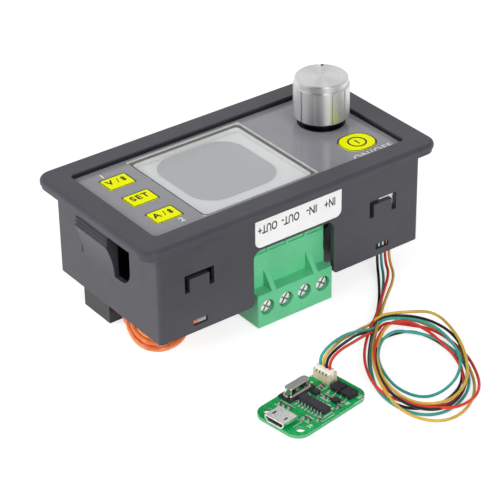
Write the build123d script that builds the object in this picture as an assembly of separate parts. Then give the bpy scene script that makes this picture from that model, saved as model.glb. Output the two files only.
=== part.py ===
from build123d import *
import math
import os

# Panel-mount buck converter module: a moulded housing with a display, keys and a knob
# on its front, two circuit boards and their parts behind it, and a four-wire cable
# that runs to a small serial adapter board.
# The module lies on its back with its front face up. X runs along the bezel, Y points
# to the top of the display and Z up. The origin is on the bench under the bezel's centre.

# Bezel and front panel
bezel_length = 79.0
bezel_width = 43.0
bezel_thickness = 2.5
bezel_corner = 3.5
bezel_edge_round = 1.0
bezel_step = 0.35
bezel_step_depth = 1.5
front_height = 30.8
panel_recess = 1.25
overlay_thickness = 0.5
panel_wall = 1.1
overlay_gap = 0.05

# Body behind the bezel
body_length = 70.8
body_width = 38.8
body_corner = 0.8
body_wall = 1.2
body_depth = 24.7

# Recess in the bezel for the panel's film, measured from the body's outer faces
window_margin_x = 1.7
window_margin_y = 3.2
window_corner = 1.2

# Openings in the body's walls
terminal_gap_left = -10.8
terminal_gap_right = 11.1
terminal_gap_depth = 11.0
terminal_gap_corner = 2.0
terminal_gap_foot = 1.0
tongue_centre = 25.0
tongue_slot_span = 7.6
tongue_slot_width = 1.25
tongue_slot_top = 10.0
tongue_slot_length = 4.35
foot_slot_span = 3.7
foot_slot_height = 1.4
foot_slot_depth = 21.7
foot_slot_wall = 0.7
foot_pocket_margin = 0.8

# Snap clips in the short walls
clip_near = -2.75
clip_width = 12.1
clip_free_end = 3.6
clip_crest_depth = 7.8
clip_root_depth = 15.9
clip_reach = 1.9
clip_hollow = 0.45
clip_thickness = 1.2
clip_teeth = 4
clip_tooth_depth = 0.45
clip_tooth_lean = 0.15
clip_hole_near = -8.8
clip_hole_depth = 15.7
clip_side_gap = 0.5
clip_hole_corner = 3.8
clip_hole_far_corner = 0.8

# Keys, their flanges and switches; places in x are measured from the film's edges
key_inset = 7.95
key_pitch = 8.8
key_middle_y = 0.6
key_length = 6.6
key_width = 4.8
key_corner = 0.5
power_key_inset_x = 7.55
power_key_inset_y = 7.5
power_key_length = 8.4
power_key_width = 7.4
power_key_corner = 3.3
key_gap = 0.2
key_proud = 0.05
key_flange = 0.7
key_flange_thickness = 0.6
key_seat_gap = 0.1
key_stem = 2.4
key_travel = 0.3
switch_size = 6.0
switch_height = 2.6
plunger_diameter = 3.2
plunger_fit = 0.1
plunger_height = 0.65
plunger_gap = 0.05

# Display, measured from the film's edges
display_inset_left = 14.1
display_inset_right = 22.8
display_inset_low = 2.2
display_inset_high = 0.9
display_corner = 1.0
display_ledge = 0.9
lens_gap = 0.1
lcd_margin = 1.4
lcd_glass_thickness = 1.5
lcd_gap = 0.1
lcd_frame_wall = 1.0
lcd_frame_floor = 1.6

# Encoder and knob
encoder_inset = 7.6
encoder_y = 4.0
encoder_size = 12.0
encoder_wall = 0.9
encoder_gap = 0.35
bush_diameter = 7.0
bush_hole_fit = 0.15
bush_proud = 1.75
shaft_diameter = 6.0
shaft_fit = 0.05
shaft_flat = 1.5
shaft_flat_length = 6.0
shaft_proud = 9.0
rotor_diameter = 8.4
rotor_thickness = 1.0
push_travel = 0.5
push_pin_diameter = 3.0
push_pin_height = 0.5
nut_across = 9.0
nut_thickness = 1.4
washer_diameter = 11.0
washer_thickness = 0.3
knob_diameter = 12.8
knob_height = 9.55
knob_clearance = 1.9
knob_collar_diameter = 12.1
knob_collar_height = 1.5
knob_edge = 0.25
knob_grooves = 11
knob_groove_width = 0.5
knob_groove_depth = 0.3
knob_groove_phase = -139.8
knob_skirt_wall = 1.0
knob_skirt_depth = 1.6
knob_mark_width = 0.7
knob_mark_length = 0.9
knob_mark_angle = 53.5

# Main board, behind the panel
board_gap = 0.3
main_board_depth = 7.6
board_thickness = 1.6
board_notch_depth = 2.4
board_notch_margin = 0.8
boss_inset = 1.9
boss_diameter = 3.6
boss_floor = 0.4
screw_diameter = 1.6
screw_head_diameter = 3.2
screw_head_height = 1.0
screw_length = 5.0

# Power board, behind the main board on its left side
power_board_depth = 18.2
power_board_right = -11.6
spacer_diameter = 3.8
spacer_inset = 2.6
spacer_left = -28.4
spacer_right = -14.2
link_x = -13.2
link_pins = 8
link_pitch = 2.54
link_body = 2.5

# Inductor
inductor_x = -25.45
inductor_y = -4.8
core_outer = 14.2
core_inner = 8.0
core_height = 7.9
core_edge = 0.5
wire_thickness = 1.4
winding_turns = 11
winding_arc = 327.0
winding_gap = 0.12

# Heatsink and power transistor
heatsink_gap = 0.1
heatsink_thickness = 3.5
heatsink_near = 2.3
heatsink_length = 9.9
transistor_near = 4.2
transistor_width = 7.8
transistor_height = 9.2
transistor_thickness = 2.7
transistor_leg_width = 0.8
transistor_leg_thickness = 0.5
transistor_hole = 3.1
transistor_hole_place = 3.2
transistor_screw_diameter = 2.9
transistor_screw_head = 4.6
transistor_screw_head_height = 1.8

# Capacitors
large_cap_diameter = 10.0
large_cap_inset = 7.0
large_cap_near = -7.3
large_cap_far = 9.4
small_cap_diameter = 8.0
small_cap_x = -18.6
small_cap_y = 11.8
cap_groove = 0.35
cap_groove_place = 2.4
cap_round = 0.6

# Chips and shunt on the main board
controller_x = 17.0
controller_y = 8.5
controller_size = 7.0
controller_height = 1.2
controller_legs = 8
controller_leg_width = 0.4
controller_leg_reach = 1.0
shunt_x = 14.0
shunt_y = -1.0
shunt_span = 9.0
shunt_wire = 1.5
shunt_height = 5.0

# Power terminal
terminal_pitch = 5.08
terminal_poles = 4
terminal_x = 0.17
plug_proud = 0.3
plug_top_depth = 22.3
plug_bottom_depth = 30.5
plug_thickness = 11.0
plug_ledge = 3.1
plug_neck_thickness = 6.6
plug_neck_margin = 0.15
plug_neck_edge = 0.12
plug_seam_depth = 19.35
header_recess = 0.4
header_rib = 0.5
header_recess_depth = 14.1
header_wall = 1.0
gusset_offset = 5.75
gusset_width = 1.2
gusset_top_depth = 18.2
screw_hole_diameter = 3.7
screw_hole_depth = 25.9
screw_sunk = 0.7
clamp_screw_diameter = 3.4
clamp_slot_width = 0.4
clamp_slot_depth = 0.8
clamp_screw_length = 3.4
wire_entry_width = 3.2
wire_entry_height = 3.6
wire_entry_length = 7.2
clamp_wall = 0.5
clamp_gap = 0.05
pin_size = 1.0
pin_reach = 7.0
pin_hole = 1.2
plug_fit = 0.1
plug_tongue_gap = 4.0

# Label above the terminal
label_left = -10.4
label_right = 13.0
label_top = 3.7
label_bottom = 10.3
label_thickness = 0.15
label_corner = 1.6

# Cable
cable_wire = 0.65
cable_pitch = 1.1
cable_x = 27.8
cable_inset = 1.95
cable_socket_margin = 1.2
cable_socket_width = 3.6
cable_socket_height = 4.4
cable_socket_wall = 0.5
cable_plug_proud = 1.9
cable_plug_gap = 0.05

# Loose coil of the cable on the bench
coil_x = 8.1
coil_y = -52.5
coil_long = 20.9
coil_short = 12.6
coil_hole_x = 8.5
coil_hole_y = -51.3
coil_hole_long = 11.2
coil_hole_short = 8.2
coil_turn = 58.0
coil_height = 2.2
coil_edge = 0.5

# Serial adapter board
adapter_x = -18.47
adapter_y = -48.84
adapter_turn = 8.55
adapter_length = 21.6
adapter_width = 13.4
adapter_thickness = 0.8
adapter_corner = 3.0
adapter_hole = 2.0
adapter_hole_x = -8.05
adapter_hole_y = 4.6
usb_x = -8.7
usb_y = 0.2
usb_length = 4.2
usb_width = 5.2
usb_height = 1.45
usb_wall = 0.2
crystal_x = 0.75
crystal_y = 4.75
crystal_length = 6.4
crystal_width = 2.1
crystal_height = 2.2
crystal_flange = 0.3
crystal_flange_thickness = 0.3
crystal_pad_margin = 0.75
crystal_pad_thickness = 0.35
chip_x = -0.4
chip_y = -1.2
chip_length = 7.4
chip_width = 2.0
chip_height = 1.15
chip_legs = 8
chip_leg_width = 0.34
chip_leg_reach = 0.85
opto_x = 7.5
opto_near = -5.1
opto_size = 2.65
opto_gap = 0.3
opto_height = 1.2
adapter_header_x = 8.25
adapter_header_y = 3.8
adapter_header_width = 2.4
adapter_header_length = 4.8
adapter_header_height = 2.3
adapter_header_wall = 0.3
adapter_plug_proud = 0.7
resistor_size = (1.0, 0.55, 0.4)
resistor_places = [
    (-4.4, 4.6), (-4.5, 3.2), (-4.3, 1.9), (-4.6, -2.6), (-4.6, -3.9), (-3.2, -5.2),
    (3.6, -0.6), (3.6, -1.7), (2.8, -5.2), (5.0, 1.9), (6.0, 2.5),
]
small_transistor_size = (1.4, 1.5, 0.75)
small_transistor_places = [(3.1, 1.6), (3.8, -3.4)]


def depth(distance):
    """Height of a point that lies this far behind the bezel's front face."""
    return front_height - distance


def block(x_range, y_range, z_range):
    """A plain box between its lowest and highest corners."""
    size = [high - low for low, high in (x_range, y_range, z_range)]
    place = [(high + low) / 2 for low, high in (x_range, y_range, z_range)]
    return Pos(*place) * Box(*size)


def plate(length, width, corner, low, high, x=0.0, y=0.0):
    """A flat plate with rounded corners, from one height to another."""
    outline = Pos(x, y, low) * RectangleRounded(length, width, corner)
    return extrude(outline, amount=high - low)


def disc(diameter, low, high, x=0.0, y=0.0):
    """A round bar that stands upright."""
    return extrude(Pos(x, y, low) * Circle(diameter / 2), amount=high - low)


def middle_and_length(low, high):
    """Middle and length of a stretch."""
    return (low + high) / 2, high - low


# Heights and places that several pieces share
window_length = body_length - 2 * window_margin_x
window_width = body_width - 2 * window_margin_y
overlay_front = depth(panel_recess)
overlay_back = overlay_front - overlay_thickness
panel_back = overlay_back - panel_wall
main_front = depth(main_board_depth)
main_back = main_front - board_thickness
power_front = depth(power_board_depth)
power_back = power_front - board_thickness
inner_half_length = body_length / 2 - body_wall
inner_half_width = body_width / 2 - body_wall
display_x, display_length = middle_and_length(
    display_inset_left - window_length / 2, window_length / 2 - display_inset_right,
)
display_y, display_width = middle_and_length(
    display_inset_low - window_width / 2, window_width / 2 - display_inset_high,
)
key_x = key_inset - window_length / 2
power_key_x = window_length / 2 - power_key_inset_x
power_key_y = power_key_inset_y - window_width / 2
encoder_x = window_length / 2 - encoder_inset
boss_x = inner_half_length - boss_inset
boss_y = inner_half_width - boss_inset
boss_places = [(x, y) for x in (-boss_x, boss_x) for y in (-boss_y, boss_y)]
key_places = {
    "volts": key_middle_y + key_pitch,
    "set": key_middle_y,
    "amps": key_middle_y - key_pitch,
}


def key_outlines(grow, low, high):
    """Upright bars with the outlines of the four keys, grown by a margin."""
    bars = [
        plate(key_length + 2 * grow, key_width + 2 * grow, key_corner + grow, low, high, key_x, y)
        for y in key_places.values()
    ]
    bars.append(plate(
        power_key_length + 2 * grow, power_key_width + 2 * grow, power_key_corner + grow,
        low, high, power_key_x, power_key_y,
    ))
    return bars


def tongue_slots(side):
    """The narrow slot around a tongue in the near wall, and the small slot in a pocket below."""
    wall = (-body_width / 2 - 1, -inner_half_width + 1)
    middle = side * tongue_centre
    half = tongue_slot_span / 2
    top = depth(tongue_slot_top)
    outer = block((middle - half, middle + half), wall, (top - tongue_slot_length, top))
    inner = block(
        (middle - half + tongue_slot_width, middle + half - tongue_slot_width),
        wall,
        (top - tongue_slot_length - 1, top - tongue_slot_width),
    )
    foot_half = foot_slot_span / 2
    foot_top = depth(foot_slot_depth)
    foot_low = foot_top - foot_slot_height
    foot = block((middle - foot_half, middle + foot_half), wall, (foot_low, foot_top))
    pocket = block(
        (middle - foot_half - foot_pocket_margin, middle + foot_half + foot_pocket_margin),
        (-body_width / 2 + foot_slot_wall, -inner_half_width + 1),
        (foot_low - foot_pocket_margin, foot_top + foot_pocket_margin),
    )
    return (outer - inner) + foot + pocket


def terminal_gap():
    """The gap in the near wall for the power terminal, open to the rear, with round corners."""
    wall_middle = -body_width / 2 + body_wall / 2
    top = depth(terminal_gap_depth)
    low = depth(body_depth) - 1
    middle, length = middle_and_length(terminal_gap_left, terminal_gap_right)
    outline = Pos(middle, 0, (top + low) / 2) * Rot(90, 0, 0) * Rectangle(length, top - low)
    gap = extrude(Pos(0, wall_middle, 0) * outline, amount=body_wall, both=True)
    upper = gap.edges().filter_by(Axis.Y).group_by(Axis.Z)[-1]
    return fillet(upper, terminal_gap_corner)


def clip_hole():
    """The hole in the left wall that holds the snap clip."""
    low = depth(clip_hole_depth)
    high = depth(clip_free_end)
    near = clip_hole_near
    far = clip_near + clip_width + clip_side_gap
    hole = block((-body_length / 2 - 1, -inner_half_length + 1), (near, far), (low, high))
    lower = hole.edges().filter_by(Axis.X).group_by(Axis.Z)[0].sort_by(Axis.Y)
    hole = fillet(lower[0], clip_hole_corner)
    lower = hole.edges().filter_by(Axis.X).group_by(Axis.Z)[0].sort_by(Axis.Y)
    return fillet(lower[-1], clip_hole_far_corner)


def clip_arm():
    """The springy arm in the left wall: a hollow-faced wedge with fine teeth up to its free end."""
    wall_face = -body_length / 2
    back = wall_face + clip_thickness
    free = depth(clip_free_end + clip_side_gap)
    crest = depth(clip_crest_depth)
    root = depth(clip_root_depth)
    step = (free - crest) / clip_teeth
    tip = (wall_face - clip_reach, crest)
    hollow = (wall_face - clip_reach / 2 + clip_hollow, (crest + root) / 2)
    face_curve = ThreePointArc((wall_face, root), hollow, tip)
    points = [tip]
    for tooth in range(clip_teeth):
        outer = wall_face - clip_reach + tooth * clip_tooth_lean
        points.append((outer + clip_tooth_depth, crest + (tooth + 0.35) * step))
        points.append((outer + clip_tooth_lean, crest + (tooth + 1) * step))
    points += [(back, free), (back, root), (wall_face, root)]
    outline = Plane.XZ * make_face(Polyline(*points) + face_curve)
    arm = extrude(outline, amount=-clip_width)
    return Pos(0, clip_near, 0) * arm


def housing():
    """The bezel, the front panel and the open-backed body, moulded in one piece."""
    bezel = plate(bezel_length, bezel_width, bezel_corner, depth(bezel_thickness), front_height)
    bezel = fillet(bezel.edges().group_by(Axis.Z)[-1], bezel_edge_round)
    skirt = plate(
        bezel_length + 1, bezel_width + 1, bezel_corner, depth(bezel_thickness), depth(bezel_step_depth),
    ) - plate(
        bezel_length - 2 * bezel_step, bezel_width - 2 * bezel_step, bezel_corner - bezel_step,
        depth(bezel_thickness), depth(bezel_step_depth),
    )
    body = plate(body_length, body_width, body_corner, depth(body_depth), depth(bezel_thickness))
    shell = bezel - skirt + body
    cavity = block(
        (-inner_half_length, inner_half_length),
        (-inner_half_width, inner_half_width),
        (depth(body_depth) - 1, panel_back),
    )
    shell -= cavity
    shell -= plate(window_length, window_width, window_corner, overlay_back, front_height + 1)
    shell -= plate(
        display_length - 2 * display_ledge, display_width - 2 * display_ledge, display_corner,
        panel_back - 1, overlay_back + 1, display_x, display_y,
    )
    for bar in key_outlines(key_gap, panel_back - 1, overlay_back + 1):
        shell -= bar
    shell -= disc(
        bush_diameter + 2 * bush_hole_fit, panel_back - 1, overlay_back + 1, encoder_x, encoder_y,
    )
    for x, y in boss_places:
        boss = disc(boss_diameter, main_front, panel_back, x, y)
        shell += boss - disc(screw_diameter, main_front - 1, panel_back - boss_floor, x, y)
    shell -= terminal_gap()
    feet = shell.edges().filter_by(Axis.Y).group_by(Axis.Z)[0].filter_by_position(
        Axis.X, terminal_gap_left - 0.01, terminal_gap_right + 0.01,
    )
    shell = fillet(feet, terminal_gap_foot)
    shell -= tongue_slots(-1)
    shell -= tongue_slots(1)
    hole = clip_hole()
    arm = clip_arm()
    shell = shell - hole + arm
    shell = shell - mirror(hole, Plane.YZ) + mirror(arm, Plane.YZ)
    return shell


def front_overlay():
    """The thin grey film that lies in the bezel's recess, cut out for keys, display and knob."""
    film = plate(
        window_length - 2 * overlay_gap, window_width - 2 * overlay_gap, window_corner,
        overlay_back, overlay_front,
    )
    film -= plate(
        display_length, display_width, display_corner, overlay_back - 1, overlay_front + 1,
        display_x, display_y,
    )
    for bar in key_outlines(key_gap, overlay_back - 1, overlay_front + 1):
        film -= bar
    film -= disc(
        bush_diameter + 2 * bush_hole_fit, overlay_back - 1, overlay_front + 1, encoder_x, encoder_y,
    )
    return film


def display_window():
    """The clear window, which lies on the ledge around the display's hole."""
    return plate(
        display_length - 2 * lens_gap, display_width - 2 * lens_gap, display_corner - lens_gap,
        overlay_back, overlay_front, display_x, display_y,
    )


# Size of the display's glass, which the frame below it is made to
lcd_length = display_length - 2 * display_ledge + 2 * lcd_margin
lcd_width = display_width - 2 * display_ledge + 2 * lcd_margin
lcd_front = panel_back - lcd_gap
lcd_back = lcd_front - lcd_glass_thickness


def lcd_glass():
    """The display's own glass, just behind the panel."""
    return plate(lcd_length, lcd_width, 0.5, lcd_back, lcd_front, display_x, display_y)


def lcd_frame():
    """The tray that carries the display's glass on the main board."""
    length = lcd_length + 2 * (lcd_gap + lcd_frame_wall)
    width = lcd_width + 2 * (lcd_gap + lcd_frame_wall)
    tray = plate(length, width, 1.0, main_front, lcd_front - 0.5, display_x, display_y)
    tray -= plate(
        lcd_length + 2 * lcd_gap, lcd_width + 2 * lcd_gap, 0.5, lcd_back, lcd_front + 1,
        display_x, display_y,
    )
    return tray - plate(
        lcd_length - 4, lcd_width - 4, 1.0, main_front + lcd_frame_floor, lcd_back + 1,
        display_x, display_y,
    )


# Heights of a key: its top, its flange behind the panel, the plunger below its stem
key_top = overlay_front + key_proud
flange_top = panel_back - key_seat_gap
flange_low = flange_top - key_flange_thickness
switch_top = main_front + switch_height
plunger_top = switch_top + plunger_height


def key_cap(length, width, corner, x, y):
    """A key: its cap, the flange that keeps it in, and the stem down to its switch."""
    cap = plate(length, width, corner, flange_low, key_top, x, y)
    cap = chamfer(cap.edges().group_by(Axis.Z)[-1], 0.1)
    flange = plate(
        length + 2 * key_flange, width + 2 * key_flange, corner + key_flange,
        flange_low, flange_top, x, y,
    )
    stem = disc(key_stem, plunger_top + plunger_gap, flange_low, x, y)
    return cap + flange + stem


def plunger(x, y):
    """The round plunger of a key's switch, which the stem presses."""
    return disc(plunger_diameter, switch_top - plunger_height, plunger_top, x, y)


def switch_bodies():
    """The four square switch bodies on the main board, each with a well for its plunger."""
    places = [(key_x, y) for y in key_places.values()] + [(power_key_x, power_key_y)]
    bodies = []
    for x, y in places:
        body = plate(switch_size, switch_size, 0.3, main_front, switch_top, x, y)
        well = disc(
            plunger_diameter + 2 * plunger_fit,
            switch_top - plunger_height - key_travel - plunger_fit,
            switch_top + 1, x, y,
        )
        bodies.append(body - well)
    return Compound(children=bodies)


# Heights inside the encoder
encoder_top = panel_back - encoder_gap
encoder_floor = main_front + encoder_wall / 2
push_pin_low = encoder_floor + push_travel + 0.1
rotor_low = push_pin_low + push_pin_height + 0.05
nut_low = overlay_front
knob_low = overlay_front + knob_clearance
knob_high = knob_low + knob_height


def encoder_body():
    """The encoder's case with its threaded bush, hollow for the rotor and the shaft."""
    case = plate(encoder_size, encoder_size, 0.5, main_front, encoder_top, encoder_x, encoder_y)
    bush = disc(bush_diameter, encoder_top, overlay_front + bush_proud, encoder_x, encoder_y)
    bush = chamfer(bush.edges().group_by(Axis.Z)[-1], 0.3)
    chamber = disc(
        rotor_diameter + 0.4, encoder_floor, encoder_top - encoder_wall, encoder_x, encoder_y,
    )
    bore = disc(
        shaft_diameter + 2 * shaft_fit, encoder_floor, overlay_front + bush_proud + 1,
        encoder_x, encoder_y,
    )
    return case + bush - chamber - bore


def encoder_plunger():
    """The small pin under the shaft that works the push switch."""
    return disc(
        push_pin_diameter, push_pin_low, push_pin_low + push_pin_height, encoder_x, encoder_y,
    )


def encoder_shaft():
    """The turning shaft with its rotor and the flat for the knob."""
    rotor = disc(rotor_diameter, rotor_low, rotor_low + rotor_thickness, encoder_x, encoder_y)
    shaft = disc(shaft_diameter, rotor_low, overlay_front + shaft_proud, encoder_x, encoder_y)
    top = overlay_front + shaft_proud
    flat = block(
        (encoder_x + shaft_diameter / 2 - shaft_flat, encoder_x + shaft_diameter),
        (encoder_y - shaft_diameter, encoder_y + shaft_diameter),
        (top - shaft_flat_length, top + 1),
    )
    return rotor + shaft - flat


def encoder_nut():
    """The washer and the nut that hold the encoder to the panel."""
    hole = bush_diameter + 0.05
    washer = disc(washer_diameter, nut_low, nut_low + washer_thickness, encoder_x, encoder_y)
    washer -= disc(hole, nut_low - 1, nut_low + 1, encoder_x, encoder_y)
    low = nut_low + washer_thickness
    hexagon = Pos(encoder_x, encoder_y, low) * RegularPolygon(nut_across / 2, 6, major_radius=False)
    nut = extrude(hexagon, amount=nut_thickness)
    nut = chamfer(nut.edges().group_by(Axis.Z)[-1], 0.2)
    nut -= disc(hole, low - 1, low + nut_thickness + 1, encoder_x, encoder_y)
    return Compound(children=[washer, nut])


def control_knob():
    """The turned knob: a grooved body, a narrower collar, a D bore and a hollow underside."""
    radius = knob_diameter / 2
    collar = knob_collar_diameter / 2
    shoulder = knob_high - knob_collar_height
    profile = make_face(Polyline(
        (0, knob_low), (radius - knob_edge, knob_low), (radius, knob_low + knob_edge),
        (radius, shoulder - knob_edge), (radius - knob_edge, shoulder), (collar, shoulder),
        (collar, knob_high - knob_edge), (collar - knob_edge, knob_high), (0, knob_high),
        close=True,
    ))
    body = revolve(Plane.XZ * profile, Axis.Z)
    groove = block(
        (radius - knob_groove_depth, radius + 1),
        (-knob_groove_width / 2, knob_groove_width / 2),
        (knob_low - 1, shoulder - knob_edge),
    )
    for index in range(knob_grooves):
        body -= Rot(0, 0, knob_groove_phase + index * 360 / knob_grooves) * groove
    mark = block(
        (collar - knob_mark_length, collar + 1),
        (-knob_mark_width / 2, knob_mark_width / 2),
        (knob_high - knob_mark_width / 2, knob_high + 1),
    )
    body -= Rot(0, 0, knob_mark_angle) * mark
    underside = disc(2 * (radius - knob_skirt_wall), knob_low - 1, knob_low + knob_skirt_depth)
    bore_top = overlay_front + shaft_proud + 0.2
    bore = disc(shaft_diameter + shaft_fit, knob_low - 1, bore_top)
    key_side = block(
        (shaft_diameter / 2 - shaft_flat + shaft_fit, radius),
        (-radius, radius),
        (bore_top - shaft_flat_length, bore_top + 1),
    )
    return Pos(encoder_x, encoder_y, 0) * (body - underside - (bore - key_side))


def board_holes(places, diameter, low, high):
    """Upright bars at the places where a board is drilled."""
    return [disc(diameter, low - 1, high + 1, x, y) for x, y in places]


def main_board():
    """The main circuit board: drilled for its four screws, notched to let the clips bend."""
    half = inner_half_length - board_gap
    board = plate(2 * half, 2 * (inner_half_width - board_gap), 0.8, main_back, main_front)
    notch = block(
        (half - board_notch_depth, half + 1),
        (clip_hole_near - board_notch_margin, clip_near + clip_width + clip_side_gap + board_notch_margin),
        (main_back - 1, main_front + 1),
    )
    board -= notch
    board -= mirror(notch, Plane.YZ)
    for bar in board_holes(boss_places, screw_diameter + 0.2, main_back, main_front):
        board -= bar
    return board


def main_board_screws():
    """The four screws that hold the main board on its bosses."""
    screws = []
    for x, y in boss_places:
        head = disc(screw_head_diameter, main_back - screw_head_height, main_back, x, y)
        head = fillet(head.edges().group_by(Axis.Z)[0], 0.4)
        head -= block(
            (x - screw_head_diameter, x + screw_head_diameter), (y - 0.2, y + 0.2),
            (main_back - screw_head_height - 1, main_back - screw_head_height + 0.4),
        )
        shank = disc(screw_diameter, main_back, main_back + screw_length, x, y)
        screws.append(head + shank)
    return Compound(children=screws)


def chip_with_legs(length, width, height, legs, leg_width, reach, sides):
    """A chip on its legs: the body stands on z = 0, with legs along two or all four sides."""
    body = Pos(0, 0, 0.1 + height / 2) * Box(width, length, height)
    body = chamfer(body.edges().filter_by(Axis.Z, reverse=True), 0.08)
    pitch = length / (legs + 0.4)
    for side in range(sides):
        for index in range(legs):
            offset = (index - (legs - 1) / 2) * pitch
            shoulder = Pos(width / 2 + reach * 0.2, offset, height / 2)
            foot = Pos(width / 2 + reach * 0.65, offset, 0.09)
            upright = Pos(width / 2 + reach * 0.35, offset, height / 4 + 0.05)
            leg = shoulder * Box(reach * 0.4, leg_width, 0.15)
            leg += upright * Box(reach * 0.15, leg_width, height / 2 + 0.1)
            leg += foot * Box(reach * 0.7, leg_width, 0.18)
            body += Rot(0, 0, side * 360 / sides) * leg
    return body


def controller_chip():
    """The square controller chip on the main board's rear face."""
    chip = chip_with_legs(
        controller_size, controller_size, controller_height, controller_legs,
        controller_leg_width, controller_leg_reach, 4,
    )
    return Pos(controller_x, controller_y, main_back) * Rot(180, 0, 0) * chip


def power_board():
    """The smaller board behind the main board, which carries the inductor."""
    left = -inner_half_length + board_gap
    half = inner_half_width - board_gap
    board = block((left, power_board_right), (-half, half), (power_back, power_front))
    return fillet(board.edges().filter_by(Axis.Z), 0.8)


def board_spacers():
    """The round spacers between the two boards."""
    far = inner_half_width - spacer_inset
    spacer_places = [(spacer_left, far), (spacer_right, far), (spacer_right, -far)]
    return Compound(children=[
        disc(spacer_diameter, power_front, main_back, x, y) for x, y in spacer_places
    ])


def link_header():
    """The row of pins that joins the two boards, in its two plastic bodies."""
    span = link_pins * link_pitch
    lower = block(
        (link_x - link_body / 2, link_x + link_body / 2), (-span / 2, span / 2),
        (power_front, power_front + link_body),
    )
    upper = block(
        (link_x - link_body / 2, link_x + link_body / 2), (-span / 2, span / 2),
        (power_front + link_body, main_back),
    )
    upper = chamfer(upper.edges().group_by(Axis.Z)[0], 0.2)
    return lower + upper


inductor_low = 0.0
inductor_high = core_height + 2 * (wire_thickness + winding_gap)


def inductor_core():
    """The ring core, with its long edges rounded."""
    low = inductor_low + wire_thickness + winding_gap
    ring = disc(core_outer, low, low + core_height, inductor_x, inductor_y)
    ring -= disc(core_inner, low - 1, low + core_height + 1, inductor_x, inductor_y)
    return chamfer(ring.edges().filter_by(GeomType.CIRCLE), core_edge)


def inductor_winding():
    """The turns of thick wire around the core, each a closed loop of its own."""
    inner = core_inner / 2 - winding_gap
    outer = core_outer / 2 + winding_gap
    middle = (inner + outer) / 2
    span = outer - inner
    height = core_height + 2 * winding_gap
    loop = RectangleRounded(span + 2 * wire_thickness, height + 2 * wire_thickness, wire_thickness)
    loop -= RectangleRounded(span, height, 0.3)
    turn = extrude(Plane.XZ * loop, amount=wire_thickness / 2, both=True)
    outer_edges = turn.edges().filter_by(GeomType.LINE).filter_by(Axis.Z).group_by(Axis.X)[-1]
    turn = fillet(outer_edges, wire_thickness * 0.45)
    lift = inductor_low + inductor_high / 2
    start = -winding_arc / 2
    step = winding_arc / (winding_turns - 1)
    turns = [
        Pos(inductor_x, inductor_y, lift) * Rot(0, 0, start + index * step) * Pos(middle, 0, 0) * turn
        for index in range(winding_turns)
    ]
    return Compound(children=turns)


# The transistor lies flat against the heatsink's inner face
heatsink_left = heatsink_gap - inner_half_length
transistor_left = heatsink_left + heatsink_thickness
transistor_right = transistor_left + transistor_thickness
transistor_y = transistor_near + transistor_width / 2
transistor_high = power_back - 1.2
transistor_low = transistor_high - transistor_height
transistor_hole_z = transistor_low + transistor_hole_place


def heatsink():
    """The black heatsink bar beside the left wall, with the hole for the transistor's screw."""
    bar = block(
        (heatsink_left, transistor_left), (heatsink_near, heatsink_near + heatsink_length),
        (0, power_back),
    )
    return bar - transistor_bore(transistor_hole, transistor_left - 2.2, transistor_left + 1)


def transistor_bore(diameter, left, right):
    """A round bar along X through the transistor's hole."""
    place = Pos((left + right) / 2, transistor_y, transistor_hole_z) * Rot(0, 90, 0)
    return place * Cylinder(diameter / 2, right - left)


def power_transistor():
    """The transistor: a flat moulded body with a screw hole and three legs up to the board."""
    body = block(
        (transistor_left, transistor_right), (transistor_near, transistor_near + transistor_width),
        (transistor_low, transistor_high),
    )
    body = chamfer(body.edges().group_by(Axis.X)[-1], 0.3)
    body -= transistor_bore(transistor_hole, transistor_left - 1, transistor_right + 1)
    middle = transistor_left + transistor_thickness / 2
    for y in (transistor_y - link_pitch, transistor_y, transistor_y + link_pitch):
        body += block(
            (middle - transistor_leg_thickness / 2, middle + transistor_leg_thickness / 2),
            (y - transistor_leg_width / 2, y + transistor_leg_width / 2),
            (transistor_high, power_back),
        )
    return body


def transistor_screw():
    """The screw that clamps the transistor to the heatsink bar."""
    head = transistor_bore(
        transistor_screw_head, transistor_right, transistor_right + transistor_screw_head_height,
    )
    head = fillet(head.edges().group_by(Axis.X)[-1], 0.5)
    slot = block(
        (transistor_right + 1.2, transistor_right + 3), (transistor_y - 3, transistor_y + 3),
        (transistor_hole_z - 0.3, transistor_hole_z + 0.3),
    )
    return (head - slot) + transistor_bore(
        transistor_screw_diameter, transistor_left - 2, transistor_right,
    )


def capacitor(diameter, base, tip, x, y):
    """A can capacitor that hangs from a board: round shoulders and a rolled groove."""
    radius = diameter / 2
    groove = base - cap_groove_place
    profile = make_face(Polyline(
        (0, base), (radius, base), (radius, groove + 2 * cap_groove), (radius - cap_groove, groove),
        (radius, groove - 2 * cap_groove), (radius, tip), (0, tip), close=True,
    ))
    can = revolve(Plane.XZ * profile, Axis.Z)
    can = fillet(can.edges().group_by(Axis.Z)[0].filter_by(GeomType.CIRCLE), cap_round)
    cross = Box(diameter * 0.62, 0.3, 0.3) + Box(0.3, diameter * 0.62, 0.3)
    can -= Pos(0, 0, tip) * cross
    return Pos(x, y, 0) * can


def current_shunt():
    """The bridge of thick bare wire that measures the current."""
    reach = shunt_span / 2
    low = main_back - shunt_height
    path = FilletPolyline(
        (shunt_x - reach, shunt_y, main_back), (shunt_x - reach, shunt_y, low),
        (shunt_x + reach, shunt_y, low), (shunt_x + reach, shunt_y, main_back),
        radius=2.0,
    )
    section = Plane(origin=path @ 0, z_dir=path % 0) * Circle(shunt_wire / 2)
    return sweep(section, path=path)


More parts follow.
